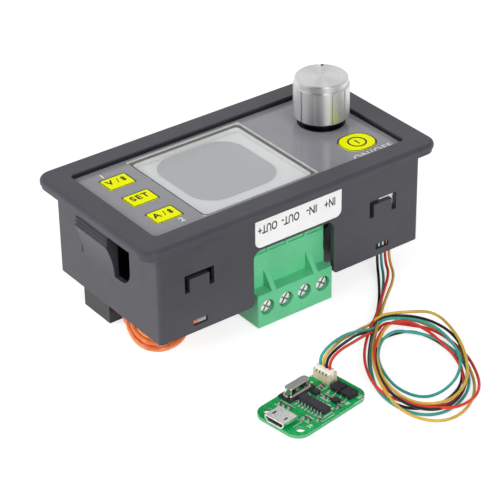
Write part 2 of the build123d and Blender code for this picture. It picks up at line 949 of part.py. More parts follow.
# The power terminal: a header on the main board and the plug pushed on from behind
terminal_half = terminal_pitch * terminal_poles / 2
neck_half = terminal_half + plug_neck_margin
terminal_places = [
    terminal_x + (index - (terminal_poles - 1) / 2) * terminal_pitch for index in range(terminal_poles)
]
plug_front = -body_width / 2 - plug_proud
plug_back = plug_front + plug_thickness
neck_front = plug_front + plug_ledge
neck_back = neck_front + plug_neck_thickness
seam = depth(plug_seam_depth)
plug_top = depth(plug_top_depth)
plug_low = depth(plug_bottom_depth)
screw_z = depth(screw_hole_depth)
neck_middle = (neck_front + neck_back) / 2


def terminal_header():
    """The header: an open box with ribs and shallow recesses on its front, near the board."""
    outer = block(
        (terminal_x - terminal_half, terminal_x + terminal_half), (neck_front, neck_back),
        (seam, main_back),
    )
    inner = block(
        (terminal_x - terminal_half + header_wall, terminal_x + terminal_half - header_wall),
        (neck_front + header_wall, neck_back - header_wall), (seam - 1, main_back - 1.5),
    )
    body = outer - inner
    for x in terminal_places:
        body -= block(
            (x - terminal_pitch / 2 + header_rib, x + terminal_pitch / 2 - header_rib * 0.4),
            (neck_front - 1, neck_front + header_recess),
            (depth(header_recess_depth), main_back + 1),
        )
    for x in terminal_places:
        body -= block(
            (x - pin_size / 2, x + pin_size / 2), (neck_middle - pin_size / 2, neck_middle + pin_size / 2),
            (main_back - 2, main_back + 1),
        )
    return body


def terminal_pins():
    """The four square pins of the header."""
    return Compound(children=[
        block(
            (x - pin_size / 2, x + pin_size / 2), (neck_middle - pin_size / 2, neck_middle + pin_size / 2),
            (main_back - pin_reach, main_back),
        )
        for x in terminal_places
    ])


def gusset(x):
    """One of the two sloping ribs between the plug's ledge and its neck."""
    top = depth(gusset_top_depth)
    outline = make_face(Polyline(
        (plug_front, plug_top), (neck_front, top), (neck_front, plug_top), close=True,
    ))
    rib = extrude(Plane.YZ * outline, amount=gusset_width / 2, both=True)
    return Pos(x, 0, 0) * rib


def terminal_plug():
    """The plug: a wide foot with screw holes and wire entries, and a neck up to the seam."""
    foot = block(
        (terminal_x - terminal_half, terminal_x + terminal_half), (plug_front, plug_back),
        (plug_low, plug_top),
    )
    neck = block(
        (terminal_x - neck_half, terminal_x + neck_half), (neck_front, neck_back), (plug_top, seam),
    )
    neck = chamfer(neck.edges().group_by(Axis.Z)[-1], plug_neck_edge)
    half = terminal_half - header_wall - plug_fit
    tongue = block(
        (terminal_x - half, terminal_x + half),
        (neck_front + header_wall + plug_fit, neck_back - header_wall - plug_fit),
        (seam, main_back - plug_tongue_gap),
    )
    body = foot + neck + tongue
    for x in (terminal_x - gusset_offset, terminal_x + gusset_offset):
        body += gusset(x)
    for x in terminal_places:
        hole = Pos(x, plug_front, screw_z) * Rot(90, 0, 0)
        body -= hole * Cylinder(screw_hole_diameter / 2, 2 * (screw_sunk + clamp_screw_length))
        body -= block(
            (x - wire_entry_width / 2, x + wire_entry_width / 2),
            (neck_middle - wire_entry_height / 2, neck_middle + wire_entry_height / 2),
            (plug_low - 1, plug_low + wire_entry_length),
        )
        body -= block(
            (x - pin_hole / 2, x + pin_hole / 2),
            (neck_middle - pin_hole / 2, neck_middle + pin_hole / 2), (plug_top, main_back),
        )
    return body


def clamp_cages():
    """The four metal cages that grip a wire in the plug."""
    cages = []
    half_width = wire_entry_width / 2 - clamp_gap
    half_height = wire_entry_height / 2 - clamp_gap
    low = plug_low + 1.2
    high = plug_low + wire_entry_length - clamp_gap
    for x in terminal_places:
        outer = block(
            (x - half_width, x + half_width),
            (neck_middle - half_height, neck_middle + half_height), (low, high),
        )
        inner = block(
            (x - half_width + clamp_wall, x + half_width - clamp_wall),
            (neck_middle - half_height + clamp_wall, neck_middle + half_height - clamp_wall),
            (low - 1, high + 1),
        )
        cages.append(outer - inner)
    return Compound(children=cages)


def clamp_screws():
    """The four clamp screws, sunk in the plug's front face, each with a crossed slot."""
    screws = []
    for x in terminal_places:
        place = Pos(x, plug_front + screw_sunk, screw_z) * Rot(-90, 0, 0)
        screw = Pos(0, 0, clamp_screw_length / 2) * Cylinder(clamp_screw_diameter / 2, clamp_screw_length)
        screw = chamfer(screw.edges().group_by(Axis.Z)[0], 0.25)
        reach = clamp_screw_diameter * 0.8
        cross = Box(reach, clamp_slot_width, clamp_slot_depth * 2)
        cross += Box(clamp_slot_width, reach, clamp_slot_depth * 2)
        screws.append(place * (screw - Rot(0, 0, 35) * cross))
    return Compound(children=screws)


def terminal_label():
    """The white sticker above the terminal, with two rounded corners."""
    wall = -body_width / 2
    label = block(
        (label_left, label_right), (wall - label_thickness, wall),
        (depth(label_bottom), depth(label_top)),
    )
    lower = label.edges().filter_by(Axis.Y).group_by(Axis.Z)[0]
    return fillet(lower, label_corner)


# The cable's ends: four wires side by side in a plug at each end
cable_y = cable_inset - inner_half_width
socket_length = 3 * cable_pitch + 2 * cable_socket_margin
socket_low = main_back - cable_socket_height
plug_a_low = socket_low - cable_plug_proud


def cable_socket():
    """The open-topped socket on the main board's rear face."""
    socket = plate(
        socket_length, cable_socket_width, 0.3, socket_low, main_back, cable_x, cable_y,
    )
    return socket - plate(
        socket_length - 2 * cable_socket_wall, cable_socket_width - 2 * cable_socket_wall, 0.2,
        socket_low - 1, main_back - 0.8, cable_x, cable_y,
    )


def cable_plug():
    """The cable's plug in the module, which ends a little outside its socket."""
    gap = cable_socket_wall + cable_plug_gap
    return plate(
        socket_length - 2 * gap, cable_socket_width - 2 * gap, 0.2,
        plug_a_low, main_back - 1.2, cable_x, cable_y,
    )


adapter_place = Pos(adapter_x, adapter_y, 0) * Rot(0, 0, adapter_turn)
adapter_top = adapter_thickness
adapter_plug_top = adapter_top + adapter_header_height + adapter_plug_proud


def tube(route, diameter):
    """A cord's tube: straight runs joined by arcs as large as the runs allow."""
    points = [Vector(*point) for point in route]
    radii = []
    for before, corner, after in zip(points, points[1:], points[2:]):
        turn = (corner - before).get_angle(after - corner)
        run = min((corner - before).length, (after - corner).length)
        radii.append(0.45 * run / math.tan(math.radians(turn) / 2))
    path = FilletPolyline(*points, radius=radii)
    section = Plane(origin=path @ 0, z_dir=path % 0) * Circle(diameter / 2)
    body = sweep(section, path=path)
    expected = math.pi * diameter ** 2 / 4 * path.length
    print("tube", round(path.length, 1), "mm, smallest radius", round(min(radii), 2),
          "mm, volume share", round(body.volume / expected, 4))
    return body


bench = cable_wire / 2 + 0.05

# Each wire from the module's plug down to the bench and on to the coil
down_routes = {
    "black": [(26.15, -16.25, 14.9), (26.15, -16.3, 9.5), (26.1, -16.45, 4.6), (25.6, -17.3, 1.3),
              (23.6, -20.2, bench), (20.0, -24.8, bench), (16.2, -29.3, bench), (11.6, -33.9, bench)],
    "teal": [(27.25, -16.25, 14.9), (27.25, -16.3, 9.6), (27.2, -16.5, 4.7), (26.7, -17.4, 1.4),
             (24.6, -20.8, bench), (20.9, -25.6, bench), (17.1, -30.0, bench), (12.6, -34.5, bench)],
    "red": [(28.35, -16.25, 14.9), (28.35, -16.3, 9.7), (28.3, -16.55, 4.8), (27.8, -17.5, 1.5),
            (25.7, -21.3, bench), (22.0, -26.3, bench), (18.1, -30.7, bench), (13.6, -35.1, bench)],
    "yellow": [(29.45, -16.25, 14.9), (29.45, -16.3, 9.8), (29.4, -16.6, 4.9), (28.9, -17.6, 1.6),
               (26.9, -21.9, bench), (23.1, -27.1, bench), (19.0, -31.6, bench), (14.7, -35.7, bench)],
}

# Each wire from the coil along the bench, up and over into the adapter's plug
board_routes = {
    "teal": [(11.6, -36.8, bench), (9.2, -36.0, 0.9), (5.8, -37.0, 2.6), (1.4, -39.1, 5.1),
             (-3.2, -41.0, 7.2), (-7.4, -42.1, 7.6), (-10.1, -42.4, 6.55), (-10.99, -42.41, 5.2),
             (-10.99, -42.41, 3.8)],
    "yellow": [(11.6, -35.0, bench), (9.3, -34.2, 0.9), (6.0, -35.4, 2.1), (1.2, -38.0, 4.0),
               (-3.3, -40.0, 5.5), (-7.6, -43.0, 7.3), (-9.97, -43.3, 6.55), (-10.86, -43.3, 5.2),
               (-10.86, -43.3, 3.8)],
    "black": [(11.8, -35.9, bench), (9.4, -35.1, bench), (6.2, -36.4, 1.3), (1.8, -38.8, 4.0),
              (-2.8, -41.6, 6.0), (-7.4, -43.9, 7.3), (-9.84, -44.2, 6.55), (-10.73, -44.19, 5.2),
              (-10.73, -44.19, 3.8)],
    "red": [(11.4, -37.7, bench), (9.0, -36.9, 0.6), (6.2, -37.6, 1.9), (2.0, -40.4, 4.2),
            (-2.7, -42.9, 6.0), (-7.3, -44.8, 7.3), (-9.7, -45.1, 6.55), (-10.59, -45.08, 5.2),
            (-10.59, -45.08, 3.8)],
}


def cable_coil():
    """The outer shape of the cable's loose turns, as one closed ring on the bench."""
    ring = Pos(coil_x, coil_y, 0) * Rot(0, 0, coil_turn) * Ellipse(coil_long, coil_short)
    hole = Pos(coil_hole_x, coil_hole_y, 0) * Rot(0, 0, coil_turn) * Ellipse(
        coil_hole_long, coil_hole_short,
    )
    body = extrude(ring - hole, amount=coil_height)
    return chamfer(body.edges().group_by(Axis.Z)[-1], coil_edge)


def adapter_board():
    """The adapter's circuit board, with two holes."""
    board = plate(adapter_length, adapter_width, adapter_corner, 0, adapter_top)
    for y in (-adapter_hole_y, adapter_hole_y):
        board -= disc(adapter_hole, -1, adapter_top + 1, adapter_hole_x, y)
    return adapter_place * board


def adapter_usb():
    """The adapter's USB socket: a thin shell, wider at its top, with a flared mouth."""
    low = adapter_top
    half = usb_width / 2
    narrow = half - 0.7
    middle = low + usb_height * 0.5
    outline = make_face(Polyline(
        (-narrow, low), (narrow, low), (half, middle), (half, low + usb_height),
        (-half, low + usb_height), (-half, middle), close=True,
    ))
    shell = extrude(Plane.YZ * outline, amount=usb_length / 2, both=True)
    hollow = offset(outline, amount=-usb_wall)
    mouth = extrude(Plane.YZ * hollow, amount=-usb_length * 0.5 - 1) + extrude(
        Plane.YZ * hollow, amount=usb_length * 0.3,
    )
    shell -= mouth
    tongue = block(
        (-usb_length * 0.35, usb_length * 0.35), (-half + 1.0, half - 1.0),
        (low + usb_height * 0.55, low + usb_height * 0.75),
    )
    return adapter_place * (Pos(usb_x, usb_y, 0) * (shell + tongue))


def adapter_crystal():
    """The crystal's can: an oval drawn cup on its flange."""
    low = adapter_top + crystal_pad_thickness
    flange = plate(
        crystal_length + 2 * crystal_flange, crystal_width + 2 * crystal_flange,
        crystal_width / 2 + crystal_flange - 0.02, low, low + crystal_flange_thickness,
        crystal_x, crystal_y,
    )
    can = plate(
        crystal_length, crystal_width, crystal_width / 2 - 0.02, low, low + crystal_height,
        crystal_x, crystal_y,
    )
    can = fillet(can.edges().group_by(Axis.Z)[-1], 0.3)
    return adapter_place * (flange + can)


def adapter_crystal_pad():
    """The black insulating pad under the crystal."""
    margin = crystal_pad_margin
    return adapter_place * plate(
        crystal_length + 2 * margin, crystal_width + 2 * margin, 0.3,
        adapter_top, adapter_top + crystal_pad_thickness, crystal_x, crystal_y,
    )


def adapter_chip():
    """The adapter's long chip with a row of legs on each side."""
    chip = chip_with_legs(
        chip_length, chip_width, chip_height, chip_legs, chip_leg_width, chip_leg_reach, 2,
    )
    return adapter_place * (Pos(chip_x, chip_y, adapter_top) * chip)


def adapter_optocouplers():
    """The two square isolator blocks beside each other."""
    blocks = []
    for index in range(2):
        low = opto_near + index * (opto_size + opto_gap)
        body = block(
            (opto_x - opto_size / 2, opto_x + opto_size / 2), (low, low + opto_size),
            (adapter_top, adapter_top + opto_height),
        )
        blocks.append(adapter_place * chamfer(body.edges().group_by(Axis.Z)[-1], 0.15))
    return Compound(children=blocks)


def adapter_header():
    """The adapter's open header, with the notches in its two end walls."""
    high = adapter_top + adapter_header_height
    body = plate(
        adapter_header_width, adapter_header_length, 0.2, adapter_top, high,
        adapter_header_x, adapter_header_y,
    )
    body -= plate(
        adapter_header_width - 2 * adapter_header_wall, adapter_header_length - 2 * adapter_header_wall,
        0.1, adapter_top + 0.6, high + 1, adapter_header_x, adapter_header_y,
    )
    notch = block(
        (adapter_header_x - 0.4, adapter_header_x + 0.4),
        (adapter_header_y - adapter_header_length, adapter_header_y + adapter_header_length),
        (high - 0.9, high + 1),
    )
    return adapter_place * (body - notch)


def adapter_plug():
    """The cable's plug in the adapter's header."""
    gap = adapter_header_wall + 0.05
    body = plate(
        adapter_header_width - 2 * gap, adapter_header_length - 2 * gap, 0.1,
        adapter_top + 0.7, adapter_plug_top, adapter_header_x, adapter_header_y,
    )
    return adapter_place * body


def small_parts():
    """The adapter's smallest parts: resistors, capacitors and two small transistors."""
    parts = []
    kinds = ((resistor_size, resistor_places), (small_transistor_size, small_transistor_places))
    for (length, width, height), places in kinds:
        for x, y in places:
            part = Pos(x, y, adapter_top + height / 2) * Box(length, width, height)
            parts.append(adapter_place * part)
    return Compound(children=parts)


def write(name, shape):
    """Write one sub-part to its own file."""
    export_step(shape, f"parts/{name}.step")


os.makedirs("parts", exist_ok=True)

write("housing", housing())
write("front_overlay", front_overlay())
write("display_window", display_window())
write("lcd_glass", lcd_glass())
write("lcd_frame", lcd_frame())
for label, y in key_places.items():
    write(f"key_{label}", key_cap(key_length, key_width, key_corner, key_x, y))
    write(f"plunger_{label}", plunger(key_x, y))
write("key_power", key_cap(
    power_key_length, power_key_width, power_key_corner, power_key_x, power_key_y,
))
write("plunger_power", plunger(power_key_x, power_key_y))
write("switch_bodies", switch_bodies())
write("encoder_body", encoder_body())
write("encoder_plunger", encoder_plunger())
write("encoder_shaft", encoder_shaft())
write("encoder_nut", encoder_nut())
write("control_knob", control_knob())
write("main_board", main_board())
write("main_board_screws", main_board_screws())
write("controller_chip", controller_chip())
write("power_board", power_board())
write("board_spacers", board_spacers())
write("link_header", link_header())
write("inductor_core", inductor_core())
write("inductor_winding", inductor_winding())
write("heatsink", heatsink())
write("power_transistor", power_transistor())
write("transistor_screw", transistor_screw())
large_cap_x = inner_half_length - large_cap_inset
for label, y in (("near", large_cap_near), ("far", large_cap_far)):
    write(f"output_capacitor_{label}", capacitor(large_cap_diameter, main_back, 0, large_cap_x, y))
write("input_capacitor", capacitor(small_cap_diameter, power_back, 0.6, small_cap_x, small_cap_y))
write("current_shunt", current_shunt())
write("terminal_header", terminal_header())
write("terminal_pins", terminal_pins())
write("terminal_plug", terminal_plug())
write("clamp_cages", clamp_cages())
write("clamp_screws", clamp_screws())
write("terminal_label", terminal_label())
write("cable_socket", cable_socket())
write("cable_plug", cable_plug())
coil = cable_coil()
write("cable_coil", coil)
for colour, route in down_routes.items():
    write(f"wire_{colour}_module", tube(route, cable_wire) - coil)
for colour, route in board_routes.items():
    write(f"wire_{colour}_adapter", tube(route, cable_wire) - coil)
write("adapter_board", adapter_board())
write("adapter_usb", adapter_usb())
write("adapter_crystal", adapter_crystal())
write("adapter_crystal_pad", adapter_crystal_pad())
write("adapter_chip", adapter_chip())
write("adapter_optocouplers", adapter_optocouplers())
write("adapter_header", adapter_header())
write("adapter_plug", adapter_plug())
write("small_parts", small_parts())
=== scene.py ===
import math

import bpy
from mathutils import Matrix, Vector


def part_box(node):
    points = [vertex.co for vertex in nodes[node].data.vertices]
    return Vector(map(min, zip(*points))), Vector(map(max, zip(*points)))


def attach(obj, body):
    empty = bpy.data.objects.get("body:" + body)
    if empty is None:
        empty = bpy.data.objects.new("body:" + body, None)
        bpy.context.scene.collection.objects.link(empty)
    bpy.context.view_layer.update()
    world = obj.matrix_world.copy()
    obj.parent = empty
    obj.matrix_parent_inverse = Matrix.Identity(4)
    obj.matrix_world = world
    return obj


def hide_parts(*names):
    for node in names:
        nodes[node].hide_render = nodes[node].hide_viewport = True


MM = 0.001

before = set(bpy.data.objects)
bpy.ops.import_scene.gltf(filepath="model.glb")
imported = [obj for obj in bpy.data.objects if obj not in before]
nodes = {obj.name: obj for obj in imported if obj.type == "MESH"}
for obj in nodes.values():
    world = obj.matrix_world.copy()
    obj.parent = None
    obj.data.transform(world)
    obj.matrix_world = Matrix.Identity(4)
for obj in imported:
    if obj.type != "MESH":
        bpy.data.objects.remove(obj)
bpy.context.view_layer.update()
scene = bpy.context.scene
scene.view_settings.view_transform = "Standard"


def linear(red, green, blue):
    """A colour given as it looks on a screen, 0 to 255, in linear values."""
    values = []
    for value in (red, green, blue):
        value /= 255
        values.append(value / 12.92 if value <= 0.04045 else ((value + 0.055) / 1.055) ** 2.4)
    return (*values, 1.0)


# Camera, fitted to the photograph

view_back = Vector((-0.50646, -0.68496, 0.52374)).normalized()
view_target = Vector((-9.774, -16.691, 18.839)) * MM
view_distance = 446.77 * MM
view_roll = math.radians(-0.8372)
sideways = Vector((0, 0, 1)).cross(view_back).normalized()
upward = view_back.cross(sideways)
right = sideways * math.cos(view_roll) + upward * math.sin(view_roll)
above = upward * math.cos(view_roll) - sideways * math.sin(view_roll)
camera_data = bpy.data.cameras.new("camera")
camera_data.sensor_width = 36
camera_data.lens = 150.53
camera_data.clip_start = 0.01
camera_data.clip_end = 20
camera = bpy.data.objects.new("camera", camera_data)
scene.collection.objects.link(camera)
camera_turn = Matrix((right, above, view_back)).transposed().to_4x4()
camera.matrix_world = Matrix.Translation(view_target + view_back * view_distance) @ camera_turn
scene.camera = camera


# Node helpers for the materials


class Nodes:
    """A material's node tree, built step by step."""

    def __init__(self, name):
        self.material = bpy.data.materials.new(name)
        self.material.use_nodes = True
        self.tree = self.material.node_tree
        self.shader = self.tree.nodes["Principled BSDF"]
        self.place = self.add("ShaderNodeTexCoord").outputs["Object"]

    def add(self, kind, **settings):
        node = self.tree.nodes.new(kind)
        for key, value in settings.items():
            setattr(node, key, value)
        return node

    def link(self, source, target):
        self.tree.links.new(source, target)

    def noise(self, size, detail=2.0):
        """Noise with features of this size in millimetres."""
        node = self.add("ShaderNodeTexNoise")
        node.inputs["Scale"].default_value = 1 / (size * MM)
        node.inputs["Detail"].default_value = detail
        self.link(self.place, node.inputs["Vector"])
        return node.outputs["Fac"]

    def math(self, operation, first, second=0.0):
        """One step of arithmetic on two values, each a number or another node's output."""
        node = self.add("ShaderNodeMath", operation=operation)
        for socket, value in zip(node.inputs, (first, second)):
            if isinstance(value, (int, float)):
                socket.default_value = value
            else:
                self.link(value, socket)
        return node.outputs[0]

    def spread(self, source, low, high, to_low=0.0, to_high=1.0):
        """The source's range from low to high, spread over another range and held within it."""
        node = self.add("ShaderNodeMapRange")
        for socket, value in zip(list(node.inputs)[1:5], (low, high, to_low, to_high)):
            socket.default_value = value
        self.link(source, node.inputs[0])
        return node.outputs[0]

    def mix(self, amount, first, second):
        """A blend of two colours."""
        node = self.add("ShaderNodeMix", data_type="RGBA")
        for socket, value in ((node.inputs[0], amount), (node.inputs[6], first), (node.inputs[7], second)):
            if isinstance(value, (int, float, tuple)):
                socket.default_value = value
            else:
                self.link(value, socket)
        return node.outputs[2]

    def bevel(self, radius):
        """The surface's direction with its edges rounded by a radius in millimetres."""
        node = self.add("ShaderNodeBevel", samples=6)
        node.inputs["Radius"].default_value = radius * MM
        return node.outputs["Normal"]

    def bump(self, height, depth, strength=1.0, rounding=0.0):
        """Bump of this depth in millimetres, over edges rounded by a radius in millimetres."""
        node = self.add("ShaderNodeBump")
        node.inputs["Distance"].default_value = depth * MM
        node.inputs["Strength"].default_value = strength
        self.link(height, node.inputs["Height"])
        if rounding:
            self.link(self.bevel(rounding), node.inputs["Normal"])
        self.link(node.outputs["Normal"], self.shader.inputs["Normal"])

    def axes(self):
        """The three coordinates of the place on the object."""
        split = self.add("ShaderNodeSeparateXYZ")
        self.link(self.place, split.inputs[0])
        return [split.outputs[axis] for axis in "XYZ"]

    def within(self, low, high, soft=0.15):
        """One inside the box between two corners in millimetres, and nought outside it."""
        inside = 1.0
        for place, start, end in zip(self.axes(), low, high):
            away = self.math("ABSOLUTE", self.math("SUBTRACT", place, (start + end) / 2 * MM))
            half = (end - start) / 2
            near = self.spread(away, (half + soft) * MM, (half - soft) * MM)
            inside = self.math("MULTIPLY", near, inside)
        return inside

    def along(self, centre, angle):
        """Distance from a place in millimetres, along a level direction at this angle in degrees."""
        way = math.radians(angle)
        parts = [
            self.math("MULTIPLY", self.math("SUBTRACT", place, start * MM), share)
            for place, start, share in zip(self.axes(), centre, (math.cos(way), math.sin(way)))
        ]
        return self.math("ABSOLUTE", self.math("ADD", *parts))

    def edges(self, radius):
        """How much an edge of this radius in millimetres turns the surface here."""
        softened = self.bevel(radius)
        geometry = self.add("ShaderNodeNewGeometry")
        dot = self.add("ShaderNodeVectorMath", operation="DOT_PRODUCT")
        self.link(softened, dot.inputs[0])
        self.link(geometry.outputs["Normal"], dot.inputs[1])
        return self.spread(dot.outputs["Value"], 0.99, 0.7)


def shade(colour, share):
    """The same colour, lighter or darker."""
    return (*(min(1.0, value * share) for value in colour[:3]), 1.0)


def moulded(name, colour, rough, grain, depth, mottle, edge, level=0.4, patches=()):
    """A moulded plastic: fine grain, a little unevenness, and a painted highlight on edges that catch the
    light.

    Grain, depth and edge are in millimetres. Each patch is a box's two corners and the
    colour that the plastic takes inside it: painted shade in the case's hollows, and pale round the
    display."""
    made = Nodes(name)
    shader = made.shader
    cloud = made.noise(6, 4)
    tint = made.mix(made.spread(cloud, 0.35, 0.65), shade(colour, 1 - mottle), shade(colour, 1 + mottle))
    # Painted highlight: rounded edges are lightened towards a paler copy of the colour
    tint = made.mix(made.math("MULTIPLY", made.edges(edge * 2), 0.25), tint, shade(colour, 1.7))
    # Patches: painted shade in the case's hollows and panel well, and pale round the display
    for low, high, patch in patches:
        tint = made.mix(made.within(low, high, 0.05), tint, patch)
    made.link(tint, shader.inputs["Base Color"])
    speck = made.noise(grain, 3)
    made.link(made.spread(speck, 0.3, 0.7, rough - 0.06, rough + 0.06), shader.inputs["Roughness"])
    shader.inputs["Specular IOR Level"].default_value = level
    made.bump(speck, depth, 0.6, edge)
    return made.material


def metal(name, colour, rough, grain=0.3, dirt=0.12):
    """A metal: faint marks in its gloss and colour."""
    made = Nodes(name)
    shader = made.shader
    marks = made.noise(grain, 4)
    cloud = made.noise(2.5, 4)
    tint = made.mix(made.spread(cloud, 0.3, 0.7), shade(colour, 1 - dirt), shade(colour, 1 + dirt / 2))
    made.link(tint, shader.inputs["Base Color"])
    shader.inputs["Metallic"].default_value = 1.0
    made.link(made.spread(marks, 0.3, 0.7, rough * 0.75, rough * 1.3), shader.inputs["Roughness"])
    made.bump(marks, 0.004, 0.5, 0.06)
    return made.material


def insulation(name, colour):
    """The soft skin of a thin wire: satin, with slight scuffs."""
    made = Nodes(name)
    shader = made.shader
    scuff = made.noise(0.5, 3)
    tint = made.mix(made.spread(made.noise(4, 2), 0.3, 0.7), shade(colour, 0.88), shade(colour, 1.12))
    made.link(tint, shader.inputs["Base Color"])
    made.link(made.spread(scuff, 0.3, 0.7, 0.32, 0.48), shader.inputs["Roughness"])
    made.bump(scuff, 0.01, 0.4)
    return made.material


def board(name, colour, track):
    """A lacquered circuit board: raised copper under the green, with cut edges of bare fibre."""
    made = Nodes(name)
    shader = made.shader
    cells = made.add("ShaderNodeTexVoronoi", distance="CHEBYCHEV", feature="F1")
    cells.inputs["Scale"].default_value = 1 / (2.6 * MM)
    cells.inputs["Randomness"].default_value = 0.85
    made.link(made.place, cells.inputs["Vector"])
    copper = made.spread(made.math("PINGPONG", cells.outputs["Distance"], 0.14), 0.055, 0.07)
    tint = made.mix(copper, colour, track)
    tint = made.mix(made.spread(made.noise(3, 3), 0.3, 0.7, 0.0, 0.35), tint, shade(colour, 0.8))
    facing = made.add("ShaderNodeSeparateXYZ")
    made.link(made.add("ShaderNodeNewGeometry").outputs["Normal"], facing.inputs[0])
    flat = made.math("ABSOLUTE", facing.outputs["Z"])
    fibre = made.mix(made.spread(made.noise(0.3, 2), 0.3, 0.7), linear(66, 168, 108), linear(112, 192, 140))
    tint = made.mix(made.spread(flat, 0.4, 0.6), fibre, tint)
    made.link(tint, shader.inputs["Base Color"])
    made.link(made.spread(made.noise(0.6, 3), 0.3, 0.7, 0.22, 0.36), shader.inputs["Roughness"])
    shader.inputs["Specular IOR Level"].default_value = 0.3
    made.bump(copper, 0.035, 0.8, 0.05)
    return made.material


# Painted shade: the case is darker inside its body and panel well, where little light reaches, and pale
# round the display

glass_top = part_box("lcd_glass")[1].z / MM
# Painted shade for the inside of the case and its panel well
painted_inside_shade = linear(26, 26, 29)
display_pale = linear(214, 214, 210)
body_hollow = ((-34.3, -18.3, -1.0), (34.3, 18.3, 27.0))
panel_well = ((-33.85, -16.35, 26.0), (33.85, 16.35, 30.4))
display_pocket = ((-19.4, -13.9, glass_top - 0.2), (10.7, 15.1, glass_top + 1.15))
film_opening = ((-19.65, -14.05, glass_top), (10.95, 15.35, glass_top + 3))
case_patches = [
    (*body_hollow, painted_inside_shade), (*panel_well, painted_inside_shade), (*display_pocket, display_pale),
]
film_patches = [(*film_opening, display_pale)]

# Plastics: colour, roughness, size and depth of the grain, unevenness and radius of the edges

material_case = moulded(
    "case_plastic", linear(66, 65, 72), 0.42, 0.22, 0.012, 0.06, 0.14, patches=case_patches,
)
material_tray = moulded("display_tray", linear(228, 228, 226), 0.5, 0.3, 0.002, 0.01, 0.1)
material_film = moulded(
    "panel_film", linear(144, 144, 150), 0.1, 0.1, 0.001, 0.025, 0.04, patches=film_patches,
)
material_key = moulded("key_yellow", linear(250, 255, 0), 0.35, 0.25, 0.004, 0.02, 0.08, level=0.06)
material_black = moulded("black_plastic", linear(38, 36, 44), 0.4, 0.18, 0.008, 0.08, 0.06)
material_switch = moulded("switch_plastic", linear(24, 24, 26), 0.5, 0.2, 0.008, 0.06, 0.05)
material_terminal = moulded("terminal_green", linear(104, 204, 150), 0.33, 0.25, 0.006, 0.06, 0.1)
material_white = moulded("white_plastic", linear(250, 248, 242), 0.42, 0.2, 0.006, 0.03, 0.06)
material_beige = moulded("beige_plastic", linear(214, 201, 172), 0.45, 0.2, 0.006, 0.05, 0.06)
material_label = moulded("label_paper", linear(252, 252, 252), 0.5, 0.12, 0.004, 0.02, 0.03)
material_ink_dark = moulded("ink_dark", linear(32, 32, 34), 0.5, 0.1, 0.002, 0.05, 0.01)
material_ink_key = moulded("ink_key", linear(52, 52, 20), 0.45, 0.1, 0.002, 0.05, 0.01, level=0.15)
material_ink_white = moulded("ink_white", linear(232, 233, 236), 0.5, 0.1, 0.003, 0.03, 0.01)
material_sink = moulded("black_anodised", linear(36, 36, 40), 0.32, 0.25, 0.006, 0.1, 0.08)
material_sleeve = moulded("can_sleeve", linear(46, 48, 56), 0.22, 0.6, 0.006, 0.06, 0.1)
material_core = moulded("ring_core", linear(150, 132, 44), 0.5, 0.4, 0.03, 0.15, 0.2)
material_resistor = moulded("resistor_body", linear(96, 66, 56), 0.45, 0.15, 0.004, 0.25, 0.04)
material_board = board("board_green", linear(0, 156, 76), linear(6, 176, 92))
material_board_dark = board("board_dark", linear(8, 62, 36), linear(14, 84, 50))

# Metals: colour, roughness and size of the marks

material_steel = metal("plated_steel", (0.62, 0.62, 0.63, 1), 0.28)
material_tin = metal("tinned_metal", (0.80, 0.80, 0.80, 1), 0.26, 0.5)
material_socket = metal("socket_shell", (0.96, 0.95, 0.94, 1), 0.3, 0.5, dirt=0.03)
# The nut's near-black colour is painted shade: it stands for the shadow under the knob
material_nut_painted_shade = metal("nut_metal_painted_shade", (0.05, 0.05, 0.055, 1), 0.45)
material_brass = metal("brass", (0.72, 0.54, 0.25, 1), 0.25)
material_shunt = metal("shunt_wire", (0.62, 0.56, 0.46, 1), 0.3)

material_wires = {
    "black": insulation("wire_black", linear(20, 19, 20)),
    "teal": insulation("wire_teal", linear(52, 158, 146)),
    "red": insulation("wire_red", linear(214, 48, 34)),
    "yellow": insulation("wire_yellow", linear(208, 168, 58)),
}


def clear_window():
    """The display's clear window: see-through, with a sharp gloss."""
    made = Nodes("clear_window")
    shader = made.shader
    shader.inputs["Base Color"].default_value = (0.9, 0.92, 0.92, 1)
    shader.inputs["Alpha"].default_value = 0.16
    made.link(made.spread(made.noise(8, 3), 0.3, 0.7, 0.03, 0.07), shader.inputs["Roughness"])
    return made.material


def display_face(middle, half, corner):
    """The unlit display: a darker field with round corners on a pale border."""
    made = Nodes("display_face")
    shader = made.shader
    squares = []
    for place, centre, reach in zip(made.axes(), middle, half):
        away = made.math("ABSOLUTE", made.math("SUBTRACT", place, centre * MM))
        away = made.math("MAXIMUM", made.math("SUBTRACT", away, (reach - corner) * MM), 0.0)
        squares.append(made.math("MULTIPLY", away, away))
    distance = made.math("SQRT", made.math("ADD", *squares))
    inside = made.spread(distance, (corner + 0.15) * MM, (corner - 0.15) * MM)
    rim = made.spread(distance, (corner + 1.6) * MM, corner * MM, 0.0, 0.35)
    border = made.mix(rim, linear(232, 234, 235), linear(206, 209, 210))
    tint = made.mix(inside, border, linear(158, 161, 164))
    made.link(tint, shader.inputs["Base Color"])
    shader.inputs["Roughness"].default_value = 0.25
    made.bump(made.noise(0.12, 1), 0.001, 0.3)
    return made.material


